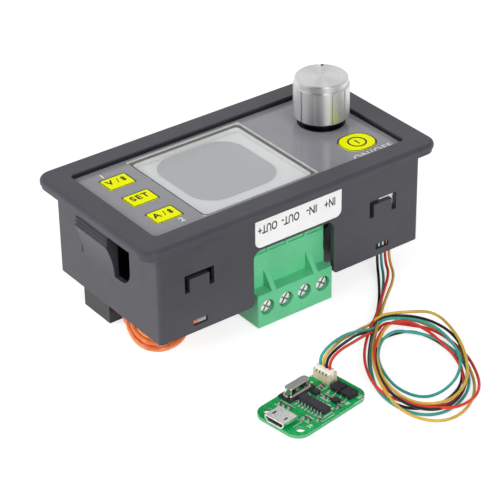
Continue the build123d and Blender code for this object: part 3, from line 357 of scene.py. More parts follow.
def turned_metal(name, centre):
    """Aluminium turned on a lathe about an upright axis: its gloss spreads across the fine rings."""
    made = Nodes(name)
    shader = made.shader
    x, y, z = made.axes()
    from_axis = [made.math("SUBTRACT", place, middle * MM) for place, middle in zip((x, y), centre)]
    squares = [made.math("MULTIPLY", away, away) for away in from_axis]
    radius = made.math("SQRT", made.math("ADD", *squares))
    ring = made.add("ShaderNodeCombineXYZ")
    made.link(radius, ring.inputs["X"])
    made.link(z, ring.inputs["Z"])
    rings = made.add("ShaderNodeTexNoise")
    rings.inputs["Scale"].default_value = 1 / (0.09 * MM)
    rings.inputs["Detail"].default_value = 2
    made.link(ring.outputs[0], rings.inputs["Vector"])
    fine = rings.outputs["Fac"]
    tint = made.mix(made.spread(fine, 0.35, 0.65), (0.74, 0.74, 0.745, 1), (0.88, 0.88, 0.88, 1))
    made.link(tint, shader.inputs["Base Color"])
    shader.inputs["Metallic"].default_value = 1.0
    made.link(made.spread(fine, 0.3, 0.7, 0.38, 0.46), shader.inputs["Roughness"])
    shader.inputs["Anisotropic"].default_value = 0.85
    shader.inputs["Anisotropic Rotation"].default_value = 0.25
    tangent = made.add("ShaderNodeTangent", direction_type="RADIAL", axis="Z")
    made.link(tangent.outputs["Tangent"], shader.inputs["Tangent"])
    made.bump(fine, 0.002, 0.3, 0.12)
    return made.material


def crystal_can(top):
    """The crystal's can: satin on its flat top, and bright on its side and flange."""
    made = Nodes("crystal_can")
    shader = made.shader
    satin = made.spread(made.axes()[2], (top - 0.12) * MM, (top - 0.02) * MM)
    grain = made.noise(0.15, 3)
    worn = made.mix(made.spread(grain, 0.3, 0.7), (0.5, 0.48, 0.46, 1), (0.66, 0.64, 0.62, 1))
    made.link(made.mix(satin, (0.74, 0.72, 0.68, 1), worn), shader.inputs["Base Color"])
    shader.inputs["Metallic"].default_value = 1.0
    made.link(made.spread(satin, 0, 1, 0.16, 0.62), shader.inputs["Roughness"])
    made.bump(grain, 0.004, 0.4, 0.08)
    return made.material


def legged_chip(centre, angle, half):
    """A black chip whose legs, further out than its half width, are bright tin."""
    made = Nodes("legged_chip")
    shader = made.shader
    legs = made.spread(made.along(centre, angle), (half + 0.01) * MM, (half + 0.05) * MM)
    speck = made.noise(0.18, 3)
    body = made.mix(made.spread(speck, 0.3, 0.7), linear(34, 32, 40), linear(46, 43, 52))
    made.link(made.mix(legs, body, (0.78, 0.78, 0.77, 1)), shader.inputs["Base Color"])
    made.link(legs, shader.inputs["Metallic"])
    made.link(made.spread(legs, 0, 1, 0.42, 0.24), shader.inputs["Roughness"])
    made.bump(speck, 0.008, 0.5, 0.05)
    return made.material


def enamelled_copper():
    """Copper wire under clear orange enamel."""
    made = Nodes("enamelled_copper")
    shader = made.shader
    cloud = made.noise(2.2, 3)
    tint = made.mix(made.spread(cloud, 0.3, 0.7), linear(226, 104, 50), linear(248, 146, 80))
    made.link(tint, shader.inputs["Base Color"])
    shader.inputs["Metallic"].default_value = 0.15
    shader.inputs["Roughness"].default_value = 0.3
    shader.inputs["Coat Weight"].default_value = 0.6
    shader.inputs["Coat Roughness"].default_value = 0.08
    made.bump(made.noise(0.5, 3), 0.02, 0.4)
    return made.material


# The adapter's place on the bench, the height of its board and the places of its parts on it

adapter_middle = (-18.47, -48.84)
adapter_turn = 8.55
board_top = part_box("adapter_board")[1].z / MM
crystal_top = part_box("adapter_crystal")[1].z / MM
chip_place = (-0.4, -1.2)
chip_half_width = 1.0


def on_adapter(x, y):
    """A place on the adapter's board, in the shared frame."""
    c, s = math.cos(math.radians(adapter_turn)), math.sin(math.radians(adapter_turn))
    return (adapter_middle[0] + x * c - y * s, adapter_middle[1] + x * s + y * c)


def middle(name):
    """The middle of a node's box, seen from above, in millimetres."""
    low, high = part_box(name)
    return ((low.x + high.x) / 2 / MM, (low.y + high.y) / 2 / MM)


material_window = clear_window()
material_display = display_face((-4.2, 2.7), (11.2, 11.35), 6.5)
material_knob = turned_metal("turned_aluminium", middle("control_knob"))
material_copper = enamelled_copper()
material_crystal = crystal_can(crystal_top)
material_chip = legged_chip(on_adapter(*chip_place), adapter_turn, chip_half_width)

dress = {
    "housing": material_case,
    "front_overlay": material_film,
    "display_window": material_window,
    "lcd_glass": material_display,
    "lcd_frame": material_tray,
    "key_volts": material_key,
    "key_set": material_key,
    "key_amps": material_key,
    "key_power": material_key,
    "plunger_volts": material_switch,
    "plunger_set": material_switch,
    "plunger_amps": material_switch,
    "plunger_power": material_switch,
    "switch_bodies": material_switch,
    "encoder_body": material_steel,
    "encoder_plunger": material_switch,
    "encoder_shaft": material_steel,
    "encoder_nut": material_nut_painted_shade,
    "control_knob": material_knob,
    "main_board": material_board_dark,
    "main_board_screws": material_steel,
    "controller_chip": material_black,
    "power_board": material_board_dark,
    "board_spacers": material_brass,
    "link_header": material_black,
    "inductor_core": material_core,
    "heatsink": material_sink,
    "power_transistor": material_black,
    "transistor_screw": material_steel,
    "output_capacitor_near": material_sleeve,
    "output_capacitor_far": material_sleeve,
    "input_capacitor": material_sleeve,
    "current_shunt": material_shunt,
    "terminal_header": material_terminal,
    "terminal_pins": material_tin,
    "terminal_plug": material_terminal,
    "clamp_cages": material_tin,
    "clamp_screws": material_tin,
    "terminal_label": material_label,
    "cable_socket": material_white,
    "cable_plug": material_white,
    "adapter_board": material_board,
    "adapter_usb": material_socket,
    "adapter_crystal": material_crystal,
    "adapter_crystal_pad": material_black,
    "adapter_chip": material_chip,
    "adapter_optocouplers": material_black,
    "adapter_header": material_beige,
    "adapter_plug": material_white,
}
for node_name, material in dress.items():
    data = nodes[node_name].data
    data.materials.clear()
    data.materials.append(material)


# The cable: four wires from the module, through the loose turns, to the adapter

wire_diameter = 0.65
coil_centre = (8.3, -51.9)
coil_half_lengths = (20.0, 12.0)
coil_tilt = 58.0
first_angle = 60.0
points_per_turn = 12

wire_starts = {
    "black": [(26.15, -16.25, 14.9), (26.15, -16.3, 9.5), (26.1, -16.45, 4.6), (25.6, -17.3, 1.3),
              (23.6, -20.2, 0.38), (18.2, -26.9, 0.38), (13.6, -31.4, 0.38)],
    "teal": [(27.25, -16.25, 14.9), (27.25, -16.3, 9.6), (27.2, -16.5, 4.7), (26.7, -17.4, 1.4),
             (24.6, -20.8, 0.61), (18.7, -27.2, 0.74), (14.2, -31.4, 0.86)],
    "red": [(28.35, -16.25, 14.9), (28.35, -16.3, 9.7), (28.3, -16.55, 4.8), (27.8, -17.5, 1.5),
            (25.7, -21.3, 1.4), (18.8, -27.2, 1.4), (13.8, -31.6, 1.4)],
    "yellow": [(29.45, -16.25, 14.9), (29.45, -16.3, 9.8), (29.4, -16.6, 4.9), (28.9, -17.6, 1.6),
               (26.9, -21.9, 0.38), (19.1, -28.0, 0.86), (13.8, -32.6, 1.4)],
}

# Each turn's reach from the coil's centre, as a share of its ellipse, and its height
wire_turns = {
    "black": (
        [0.91, 0.91, 0.97, 0.88, 0.76, 0.72, 0.75, 0.75, 0.64, 0.62, 0.67, 0.71,
         0.74, 0.80, 0.88, 0.93, 0.95, 0.89, 0.84, 0.83, 0.88, 0.92, 0.90, 0.97],
        [0.38, 0.38, 0.38, 0.38, 0.38, 0.38, 0.38, 0.38, 0.38, 0.38, 0.38, 0.38,
         2.18, 2.18, 2.18, 2.18, 2.18, 1.46, 1.58, 1.58, 1.58, 0.80, 1.40, 2.06],
    ),
    "teal": (
        [0.87, 0.89, 1.00, 0.98, 0.91, 0.89, 0.91, 0.79, 0.65, 0.59, 0.59, 0.65,
         0.72, 0.76, 0.68, 0.60, 0.58, 0.61, 0.68, 0.74, 0.72, 0.75, 0.81, 0.93],
        [1.04, 1.04, 1.04, 1.04, 0.38, 0.38, 0.92, 1.04, 1.04, 1.04, 0.98, 2.18,
         2.18, 2.18, 0.92, 0.38, 0.38, 1.22, 2.00, 2.00, 2.00, 2.18, 1.76, 2.18],
    ),
    "red": (
        [0.98, 1.00, 1.01, 0.86, 0.80, 0.85, 0.82, 0.67, 0.57, 0.62, 0.77, 0.82,
         0.79, 0.82, 0.90, 0.90, 0.90, 1.01, 1.10, 0.93, 0.78, 0.74, 0.78, 0.90],
        [1.40, 1.64, 1.64, 1.64, 1.04, 0.98, 0.98, 1.52, 1.64, 1.64, 1.64, 2.18,
         2.18, 2.18, 2.06, 2.18, 2.18, 1.76, 0.98, 0.98, 0.98, 0.98, 0.38, 1.52],
    ),
    "yellow": (
        [0.84, 0.84, 0.92, 1.09, 1.10, 1.05, 1.01, 0.86, 0.80, 0.84, 0.86, 0.81,
         0.75, 0.77, 0.82, 0.84, 0.83, 0.85, 0.85, 0.83, 0.89, 1.02, 0.92, 1.01],
        [1.40, 2.18, 2.18, 2.18, 1.40, 0.38, 0.38, 0.38, 0.38, 0.38, 1.16, 2.18,
         2.18, 2.18, 2.18, 2.06, 2.06, 2.18, 2.18, 2.18, 2.18, 2.18, 2.00, 2.18],
    ),
}

wire_ends = {
    "black": [(9.4, -35.1, 0.38), (6.2, -36.4, 1.3), (1.8, -38.8, 4.0), (-2.8, -41.6, 6.0),
              (-7.4, -43.9, 7.3), (-9.84, -44.2, 6.55), (-10.73, -44.19, 5.2), (-10.73, -44.19, 3.8)],
    "teal": [(9.2, -36.0, 0.9), (5.8, -37.0, 2.6), (1.4, -39.1, 5.1), (-3.2, -41.0, 7.2),
             (-7.4, -42.1, 7.6), (-10.1, -42.4, 6.55), (-10.99, -42.41, 5.2), (-10.99, -42.41, 3.8)],
    "red": [(9.0, -36.9, 0.6), (6.2, -37.6, 1.9), (2.0, -40.4, 4.2), (-2.7, -42.9, 6.0),
            (-7.3, -44.8, 7.3), (-9.7, -45.1, 6.55), (-10.59, -45.08, 5.2), (-10.59, -45.08, 3.8)],
    "yellow": [(9.3, -34.2, 0.9), (6.0, -35.4, 2.1), (1.2, -38.0, 4.0), (-3.3, -40.0, 5.5),
               (-7.6, -43.0, 7.3), (-9.97, -43.3, 6.55), (-10.86, -43.3, 5.2), (-10.86, -43.3, 3.8)],
}


def coil_point(index, reach, height):
    """A point of a wire's turns in the coil."""
    angle = math.radians(first_angle + index * 360 / points_per_turn)
    tilt = math.radians(coil_tilt)
    along = coil_half_lengths[0] * reach * math.cos(angle)
    across = coil_half_lengths[1] * reach * math.sin(angle)
    x = coil_centre[0] + along * math.cos(tilt) - across * math.sin(tilt)
    y = coil_centre[1] + along * math.sin(tilt) + across * math.cos(tilt)
    return (x, y, height)


def spline_object(name, points, diameter, material):
    """A round cord along a smooth curve, from points in millimetres."""
    curve = bpy.data.curves.new(name, "CURVE")
    curve.dimensions = "3D"
    curve.bevel_depth = diameter / 2 * MM
    curve.bevel_resolution = 4
    curve.use_fill_caps = True
    curve.resolution_u = 10
    spline = curve.splines.new("NURBS")
    spline.points.add(len(points) - 1)
    for target, point in zip(spline.points, points):
        target.co = (*(value * MM for value in point), 1.0)
    spline.order_u = 3
    spline.use_endpoint_u = True
    curve.materials.append(material)
    made = bpy.data.objects.new(name, curve)
    scene.collection.objects.link(made)
    return made


# Each wire as one cord from the module, round the coil's turns and on to the adapter, in place of the part
# file's wires
for colour in ("black", "teal", "red", "yellow"):
    reaches, heights = wire_turns[colour]
    route = list(wire_starts[colour])
    route += [coil_point(index, *pair) for index, pair in enumerate(zip(reaches, heights))]
    route += wire_ends[colour]
    wire = spline_object(f"wire_{colour}", route, wire_diameter, material_wires[colour])
    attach(wire, "root")
    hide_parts(f"wire_{colour}_module", f"wire_{colour}_adapter")
    if colour == "teal":
        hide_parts("cable_coil")


# Helpers for the printed marks and the small added pieces

ink_rise = 0.012
# The height of a capital letter as a share of the font's size
capital_share = 0.69
upside_down_on_wall = Matrix(((-1, 0, 0, 0), (0, 0, -1, 0), (0, -1, 0, 0), (0, 0, 0, 1)))


def mesh_object(name, points, faces, material, body="root"):
    """A mesh from points in millimetres, riding on a body."""
    mesh = bpy.data.meshes.new(name)
    mesh.from_pydata([Vector(point) * MM for point in points], [], faces)
    mesh.validate()
    mesh.materials.append(material)
    made = bpy.data.objects.new(name, mesh)
    scene.collection.objects.link(made)
    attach(made, body)
    return made


def prism(outline, low, high):
    """Points and faces of an upright prism over a flat outline."""
    count = len(outline)
    points = [(x, y, low) for x, y in outline] + [(x, y, high) for x, y in outline]
    faces = [list(range(count - 1, -1, -1)), list(range(count, 2 * count))]
    faces += [[i, (i + 1) % count, (i + 1) % count + count, i + count] for i in range(count)]
    return points, faces


def rounded(x, y, half_length, half_width, corner):
    """The outline of a flat shape with rounded corners."""
    steps = 6
    points = []
    for quarter, (across, along) in enumerate(((1, 1), (-1, 1), (-1, -1), (1, -1))):
        for step in range(steps + 1):
            angle = math.radians(90 * quarter + 90 * step / steps)
            points.append((
                x + across * (half_length - corner) + corner * math.cos(angle),
                y + along * (half_width - corner) + corner * math.sin(angle),
            ))
    return points


def ring_line(name, outer, inner, low, high, material, body):
    """A raised closed line between two outlines with as many points."""
    count = len(outer)
    points = [(*point, height) for height in (low, high) for outline in (outer, inner) for point in outline]
    faces = []
    for i in range(count):
        j = (i + 1) % count
        faces += [
            [i, j, 2 * count + j, 2 * count + i],
            [count + j, count + i, 3 * count + i, 3 * count + j],
            [2 * count + i, 2 * count + j, 3 * count + j, 3 * count + i],
            [j, i, count + i, count + j],
        ]
    return mesh_object(name, points, faces, material, body)


def text_object(
    name, text, height, place, material, body="root", facing="up", bold=0.0, squeeze=1.0, spacing=1.0,
    turn=0.0,
):
    """Raised lettering: facing up, or upside down on the near wall. Height is the capitals' height."""
    curve = bpy.data.curves.new(name, "FONT")
    curve.body = text
    curve.size = height / capital_share * MM
    curve.align_x = "CENTER"
    curve.align_y = "CENTER"
    curve.extrude = ink_rise * MM
    curve.offset = bold * MM
    curve.space_character = spacing
    curve.resolution_u = 4
    drawn = bpy.data.objects.new(name + "_text", curve)
    scene.collection.objects.link(drawn)
    bpy.context.view_layer.update()
    evaluated = drawn.evaluated_get(bpy.context.evaluated_depsgraph_get())
    mesh = bpy.data.meshes.new_from_object(evaluated)
    bpy.data.objects.remove(drawn)
    mesh.transform(Matrix.Diagonal((squeeze, 1, 1, 1)))
    mesh.transform(Matrix.Rotation(math.radians(turn), 4, "Z"))
    if facing == "wall":
        mesh.transform(upside_down_on_wall)
    mesh.transform(Matrix.Translation(Vector(place) * MM))
    mesh.materials.clear()
    mesh.materials.append(material)
    made = bpy.data.objects.new(name, mesh)
    scene.collection.objects.link(made)
    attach(made, body)
    return made


# Lettering of the keys, the panel and the terminal's label

film_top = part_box("front_overlay")[1].z / MM + ink_rise
key_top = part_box("key_set")[1].z / MM + ink_rise
key_half = (3.3, 2.4)
power_half = (4.2, 3.7)
edge_line = 0.17
legend_height = 1.75
legend_bold = 0.07


def key_print(name, body, outline):
    """A printed shape on a key."""
    points, faces = prism(outline, key_top - ink_rise, key_top + ink_rise)
    mesh_object(name, points, faces, material_ink_key, body)


def double_arrow(x, y, size):
    """The outline of a bold arrow with a head at both ends."""
    half, stem, neck = size * 0.3, size * 0.13, size * 0.12
    upper = [(stem, neck), (half, neck), (0, size / 2), (-half, neck), (-stem, neck)]
    lower = [(-stem, -neck), (-half, -neck), (0, -size / 2), (half, -neck), (stem, -neck)]
    return [(x + across, y + up) for across, up in upper + lower]


def key_edge(body, half, corner):
    """The thin dark line printed round a key's top."""
    x, y = middle(body)
    outer = rounded(x, y, *half, corner)
    inner = rounded(x, y, half[0] - edge_line, half[1] - edge_line, corner - 0.1)
    ring_line(
        body + "_edge", outer, inner, key_top - ink_rise, key_top + ink_rise, material_ink_key, body,
    )


for body in ("key_volts", "key_set", "key_amps"):
    key_edge(body, key_half, 0.5)
key_edge("key_power", power_half, 3.3)

for body, letter in (("key_volts", "V"), ("key_amps", "A")):
    x, y = middle(body)
    y += 0.4
    text_object(
        body + "_letter", letter, legend_height, (x - 1.65, y, key_top), material_ink_key, body,
        bold=legend_bold,
    )
    key_print(body + "_slash", body, [
        (x - 0.05, y - 0.9), (x + 0.15, y - 0.9), (x + 0.65, y + 0.9), (x + 0.45, y + 0.9),
    ])
    key_print(body + "_arrow", body, double_arrow(x + 1.75, y, 2.1))
x, y = middle("key_set")
text_object(
    "key_set_letters", "SET", legend_height, (x, y + 0.35, key_top), material_ink_key, "key_set",
    bold=legend_bold, spacing=1.22,
)

x, y = middle("key_power")
ring_line(
    "key_power_ring", rounded(x, y, 2.25, 2.25, 2.25), rounded(x, y, 1.85, 1.85, 1.85),
    key_top - ink_rise, key_top + ink_rise, material_ink_key, "key_power",
)
key_print("key_power_bar", "key_power", [
    (x - 0.17, y - 0.9), (x + 0.17, y - 0.9), (x + 0.17, y + 0.9), (x - 0.17, y + 0.9),
])

text_object("panel_first", "1", 1.6, (-27.2, 13.2, film_top), material_ink_white, bold=0.05)
text_object("panel_second", "2", 1.6, (-24.0, -12.2, film_top), material_ink_white, bold=0.05)
text_object(
    "panel_power", "ON/OFF", 1.9, (26.3, -14.4, film_top), material_ink_white, bold=0.03, spacing=1.12,
)

# Painted shade: a dark mark in the notch at the edge of the knob's top, narrower towards the middle
knob_middle = Vector(middle("control_knob"))
knob_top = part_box("control_knob")[1].z / MM
mark_way = Matrix.Rotation(math.radians(49.7), 2)
mark = [
    knob_middle + mark_way @ Vector(corner)
    for corner in ((4.7, -0.12), (5.75, -0.4), (5.75, 0.4), (4.7, 0.12))
]
points, faces = prism(mark, knob_top - ink_rise, knob_top + ink_rise)
mesh_object("knob_notch_painted_shade", points, faces, material_ink_dark, "knob")

label_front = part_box("terminal_label")[0].y / MM - ink_rise
label_text_z = 24.9
label_text_height = 1.95
for name, text, x, squeeze in (
    ("label_out_plus", "OUT+", -7.15, 0.68), ("label_out_minus", "OUT-", -1.0, 0.7),
    ("label_in_minus", "IN-", 4.75, 0.78), ("label_in_plus", "IN+", 9.8, 0.68),
):
    text_object(
        name, text, label_text_height, (x, label_front, label_text_z), material_ink_dark,
        facing="wall", bold=0.05, squeeze=squeeze,
    )


# The inductor's turns, side by side round the ring, and its leads

strand = 1.2
turns_middle = middle("inductor_winding")
ring_low, ring_high = (corner.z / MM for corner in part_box("inductor_winding"))
outer_reach = 8.62 - strand / 2
inner_reaches = (3.3, 2.35)
winding_count = 24
winding_start = 203.0
winding_arc = 322.0


def round_ring(way, reach, height):
    """A point this far from the ring's axis, in this direction."""
    return (turns_middle[0] + reach * math.cos(way), turns_middle[1] + reach * math.sin(way), height)


def winding_points():
    """The wire's control points: up outside the ring, in over it, down its hole and out again."""
    low, high = ring_low + strand / 2 + 0.02, ring_high - strand / 2
    points = []
    step = winding_arc / winding_count
    for turn in range(winding_count):
        angle = winding_start + turn * step
        inner = inner_reaches[turn % 2]
        for reach, height, share in (
            (outer_reach, low + 1.3, 0.0), (outer_reach, high - 1.3, 0.06), (outer_reach - 1.1, high, 0.12),
            (inner + 1.1, high, 0.3), (inner, high - 1.2, 0.36), (inner, low + 1.2, 0.42),
            (inner + 1.1, low, 0.5), (outer_reach - 1.1, low, 0.85),
        ):
            way = math.radians(angle + share * step)
            points.append(round_ring(way, reach, height))
    return points


winding = spline_object("inductor_strands", winding_points(), strand, material_copper)
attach(winding, "root")
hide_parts("inductor_winding")

# Three leads, each from the angle of its last turn over the ring, run round the near left corner,
# one over the other, and up to the board
last_turn = [(3.3, 1.8), (3.3, 9.1), (4.4, 10.3), (6.9, 10.3), (8.0, 9.0)]
lead_routes = {
    171.0: [
        (-33.5, -3.6, 5.0), (-33.8, -5.2, 1.8), (-34.0, -8.6, 0.62), (-33.5, -11.6, 0.62),
        (-31.6, -13.7, 0.62), (-28.6, -14.0, 0.62), (-25.6, -13.2, 0.8), (-23.6, -12.0, 2.2),
        (-22.8, -11.5, 6.0), (-22.8, -11.5, 10.9),
    ],
    183.0: [
        (-33.5, -5.3, 5.2), (-33.6, -6.8, 2.6), (-33.4, -9.6, 1.75), (-32.4, -11.9, 1.5),
        (-30.6, -13.2, 1.6), (-28.0, -13.4, 1.75), (-25.4, -12.7, 2.2), (-24.2, -12.1, 4.2),
        (-24.0, -12.0, 7.0), (-24.0, -12.0, 10.9),
    ],
    195.0: [
        (-33.3, -7.0, 5.6), (-33.2, -8.4, 3.4), (-32.6, -10.4, 2.7), (-31.2, -12.1, 2.6),
        (-29.2, -12.9, 2.8), (-27.6, -13.0, 4.4), (-27.4, -13.0, 7.2), (-27.4, -13.0, 10.9),
    ],
}
for number, (angle, route) in enumerate(lead_routes.items()):
    start = [round_ring(math.radians(angle), reach, height) for reach, height in last_turn]
    lead = spline_object(f"inductor_lead_{number}", start + route, strand, material_copper)
    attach(lead, "root")


# The adapter's small parts: legs, pads, resistors, printed lines and numbers

block_corners = ((-1, -1), (1, -1), (1, 1), (-1, 1))


def blocks_on_adapter(name, blocks, material):
    """Small upright blocks on the adapter's board: middle, length, width, lowest and highest height."""
    points, faces = [], []
    for x, y, length, width, low, high in blocks:
        outline = [
            on_adapter(x + across * length / 2, y + along * width / 2) for across, along in block_corners
        ]
        more, sides = prism(outline, board_top + low, board_top + high)
        faces += [[index + len(points) for index in face] for face in sides]
        points += more
    made = mesh_object(name, points, faces, material)
    return made


def leg(x, y, across, along, reach, width=0.32, shoulder=0.5):
    """A bent leg out of a part's side: its shoulder, its drop and its foot."""
    thick = 0.14
    blocks = []
    for start, end, low, high in (
        (-0.1, reach * 0.45, shoulder - thick, shoulder),
        (reach * 0.45 - thick, reach * 0.45, thick, shoulder),
        (reach * 0.45 - thick, reach, 0.0, thick),
    ):
        place, length = (start + end) / 2, end - start
        size = (length, width) if across else (width, length)
        blocks.append((x + across * place, y + along * place, *size, low, high))
    return blocks


resistor_size = (1.0, 0.55, 0.4)
resistor_end = 0.24
resistor_places = [
    (-4.4, 4.6), (-4.5, 3.2), (-4.3, 1.9), (-4.6, -2.6), (-4.6, -3.9), (-3.2, -5.2),
    (3.6, -0.6), (3.6, -1.7), (2.8, -5.2), (5.0, 1.9), (6.0, 2.5),
]
transistor_size = (1.4, 1.5, 0.75)
transistor_places = [(3.1, 1.6), (3.8, -3.4)]
isolator_edge = 7.5 - 2.65 / 2
isolator_legs = [-4.5, -3.0, -1.55, 0.0]

length, width, height = resistor_size
bodies = blocks_on_adapter("resistor_bodies", [
    (x, y, length - resistor_end, width - 0.03, 0.02, height - 0.02) for x, y in resistor_places
], material_resistor)
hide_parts("small_parts")
blocks_on_adapter("resistor_ends", [
    (x + side * (length - resistor_end) / 2, y, resistor_end, width, 0.0, height)
    for x, y in resistor_places for side in (-1, 1)
], material_tin)
bodies = blocks_on_adapter("small_transistors", [
    (x, y, transistor_size[0], transistor_size[1], 0.05, transistor_size[2]) for x, y in transistor_places
], material_black)
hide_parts("small_parts")

legs = []
for x, y in transistor_places:
    edge = transistor_size[1] / 2
    legs += leg(x - 0.45, y - edge, 0, -1, 0.6)
    legs += leg(x + 0.45, y - edge, 0, -1, 0.6)
    legs += leg(x, y + edge, 0, 1, 0.6)
for y in isolator_legs:
    legs += leg(isolator_edge, y, -1, 0, 1.1, width=0.36, shoulder=0.6)
blocks_on_adapter("small_legs", legs, material_tin)

pad_rise = 0.02
leg_pitch = 6.6 / 7
pads = [
    (chip_place[0] + side * 1.95, chip_place[1] + (index - 3.5) * leg_pitch, 0.95, 0.5, 0.0, pad_rise)
    for side in (-1, 1) for index in range(8)
]
pads += [(x + side * 0.62, y, 0.35, 0.6, 0.0, pad_rise) for x, y in resistor_places for side in (-1, 1)]
pads += [(isolator_edge - 1.1, y, 0.7, 0.55, 0.0, pad_rise) for y in isolator_legs]
blocks_on_adapter("board_pads", pads, material_tin)

usb_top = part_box("adapter_usb")[1].z / MM - board_top
blocks_on_adapter("socket_slots", [
    (-9.0, y, 1.05, 0.42, usb_top - 0.02, usb_top + 0.015) for y in (-1.42, 1.82)
], material_switch)

header_place = (8.25, 3.8)
header_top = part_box("adapter_header")[1].z / MM - board_top
blocks_on_adapter("header_notches", [
    (header_place[0] - 1.05, header_place[1] + along, 0.34, 0.26, header_top - 0.45, header_top + 0.015)
    for along in (-1.35, -0.45, 0.45, 1.35)
], material_switch)

line_width = 0.11
lines = []


def printed_box(x, y, length, width, sides="nesw"):
    """White lines round a part, on the sides named."""
    for side in sides:
        way = 0.5 if side in "ne" else -0.5
        if side in "ns":
            lines.append((x, y + way * width, length + line_width, line_width, 0.0, pad_rise))
        else:
            lines.append((x + way * length, y, line_width, width + line_width, 0.0, pad_rise))


printed_box(-7.3, -2.0, 2.6, 2.2, "se")
printed_box(-7.3, 2.4, 2.6, 2.2, "ne")
printed_box(chip_place[0], chip_place[1], 2.3, 7.9, "ns")
printed_box(-1.3, -5.75, 3.5, 0.7)
printed_box(3.6, -1.15, 1.7, 2.2)
printed_box(5.5, 2.2, 2.6, 1.5)
printed_box(7.5, -3.6, 3.2, 6.2, "es")
printed_box(header_place[0], header_place[1], 2.9, 5.3, "nes")
printed_box(-4.5, 3.2, 1.8, 3.9, "ew")
printed_box(-4.6, -3.2, 1.8, 2.2, "new")
blocks_on_adapter("board_lines", lines, material_ink_white)

for name, text, x, y, size in (
    ("board_number_a", "1", -2.6, 5.6, 0.8), ("board_number_b", "24", -6.0, -5.3, 0.8),
    ("board_number_c", "10", 4.9, -5.6, 0.8), ("board_number_d", "32", 8.3, -5.9, 0.7),
    ("board_number_e", "8", 1.9, -3.2, 0.7), ("board_number_f", "16", 2.0, 3.2, 0.7),
    ("board_number_g", "4", 5.4, 4.9, 0.8),
):
    place = (*on_adapter(x, y), board_top + 0.01)
    text_object(name, text, size, place, material_ink_white, bold=0.02, turn=adapter_turn)


# Stage: a pale floor, a bright studio and soft lights

lamp_aim = Vector((0.0, -0.015, 0.015))
floor_glow = 0.72
painted_shadow_under_module = ((-25, -9, -5), (33, 18, 5))
room_light = 0.42
# What metal mirrors: the angle round the object from the camera's side, in degrees, and its strength
studio_cards = [
    (-180, 1.1), (-120, 0.95), (-70, 1.05), (-50, 0.25), (-40, 0.0), (6, 0.0),
    (12, 2.2), (34, 2.2), (42, 0.2), (62, 0.5), (120, 0.75), (180, 1.1),
]


def stage_floor():
    """The plain floor: it keeps the shadow, half as deep, and stays pale except in a painted shadow under
    the module, where its glow is taken away.
    """
    mesh = bpy.data.meshes.new("floor")
    size = 4.0
    corners = [(-size, -size, 0), (size, -size, 0), (size, size, 0), (-size, size, 0)]
    mesh.from_pydata(corners, [], [(0, 1, 2, 3)])
    floor = bpy.data.objects.new("floor", mesh)
    floor.location.z = -0.0001
    scene.collection.objects.link(floor)
    made = Nodes("floor_pale")
    shader = made.shader
    shader.inputs["Base Color"].default_value = (0.52, 0.52, 0.52, 1)
    shader.inputs["Roughness"].default_value = 1.0
    shader.inputs["Specular IOR Level"].default_value = 0.0
    shader.inputs["Emission Color"].default_value = (1, 1, 1, 1)
    paths = made.add("ShaderNodeLightPath").outputs
    seen = made.math("MAXIMUM", paths["Is Camera Ray"], paths["Is Glossy Ray"])
    seen = made.math("MAXIMUM", seen, paths["Is Transmission Ray"])
    # Painted shadow: no glow in a box under the module
    glow = made.spread(made.within(*painted_shadow_under_module, 2.0), 0, 1, floor_glow, 0.0)
    made.link(made.math("MULTIPLY", seen, glow), shader.inputs["Emission Strength"])
    floor.data.materials.append(made.material)


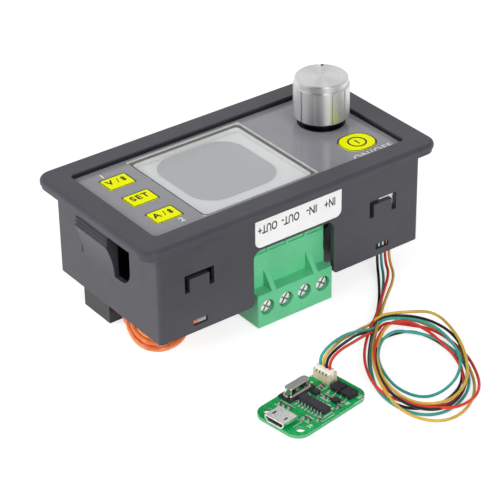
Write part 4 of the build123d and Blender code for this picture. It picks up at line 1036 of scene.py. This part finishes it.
def stage_world():
    """The studio: an even room, white to the camera, with dark and bright cards for metal to mirror."""
    world = bpy.data.worlds.new("studio")
    scene.world = world
    world.use_nodes = True
    tree = world.node_tree
    link = tree.links.new
    tree.nodes.clear()
    output = tree.nodes.new("ShaderNodeOutputWorld")
    background = tree.nodes.new("ShaderNodeBackground")
    paths = tree.nodes.new("ShaderNodeLightPath")
    place = tree.nodes.new("ShaderNodeTexCoord")
    turns = tree.nodes.new("ShaderNodeMath")
    turns.operation = "ARCTAN2"
    to_the_camera = Vector((view_back.x, view_back.y, 0)).normalized()
    for socket, direction in zip(turns.inputs, (sideways, to_the_camera)):
        dot = tree.nodes.new("ShaderNodeVectorMath")
        dot.operation = "DOT_PRODUCT"
        dot.inputs[1].default_value = direction
        link(place.outputs["Generated"], dot.inputs[0])
        link(dot.outputs["Value"], socket)
    share = tree.nodes.new("ShaderNodeMapRange")
    share.inputs["From Min"].default_value = -math.pi
    share.inputs["From Max"].default_value = math.pi
    link(turns.outputs[0], share.inputs["Value"])
    cards = tree.nodes.new("ShaderNodeValToRGB")
    stops = cards.color_ramp.elements
    for degrees, brightness in studio_cards:
        position = degrees / 360 + 0.5
        there = [stop for stop in stops if math.isclose(stop.position, position, abs_tol=0.001)]
        stop = there[0] if there else stops.new(position)
        stop.color = (brightness, brightness, brightness, 1)
    link(share.outputs[0], cards.inputs[0])
    mirrored = tree.nodes.new("ShaderNodeMix")
    mirrored.inputs[2].default_value = room_light
    link(paths.outputs["Is Glossy Ray"], mirrored.inputs[0])
    link(cards.outputs["Color"], mirrored.inputs[3])
    seen = tree.nodes.new("ShaderNodeMath")
    seen.operation = "MAXIMUM"
    link(paths.outputs["Is Camera Ray"], seen.inputs[0])
    link(paths.outputs["Is Transmission Ray"], seen.inputs[1])
    strength = tree.nodes.new("ShaderNodeMix")
    strength.inputs[3].default_value = 1.0
    link(seen.outputs[0], strength.inputs[0])
    link(mirrored.outputs[0], strength.inputs[2])
    link(strength.outputs[0], background.inputs["Strength"])
    link(background.outputs[0], output.inputs["Surface"])


def softbox(name, place, size, power):
    """A soft rectangular lamp that points at the object; the gleams come from the cards."""
    lamp = bpy.data.lights.new(name, "AREA")
    lamp.shape = "RECTANGLE"
    lamp.size, lamp.size_y = size
    lamp.energy = power
    made = bpy.data.objects.new(name, lamp)
    scene.collection.objects.link(made)
    made.location = place
    made.visible_glossy = False
    direction = lamp_aim - Vector(place)
    made.rotation_mode = "QUATERNION"
    made.rotation_quaternion = direction.to_track_quat("-Z", "Y")


stage_floor()
stage_world()
softbox("key_lamp", (-0.85, 0.2, 0.38), (0.9, 0.9), 7.8)
softbox("top_lamp", (0.1, 0.35, 0.9), (1.2, 1.0), 1.2)
softbox("front_lamp", (-0.1, -0.9, 0.4), (0.6, 0.6), 6.2)
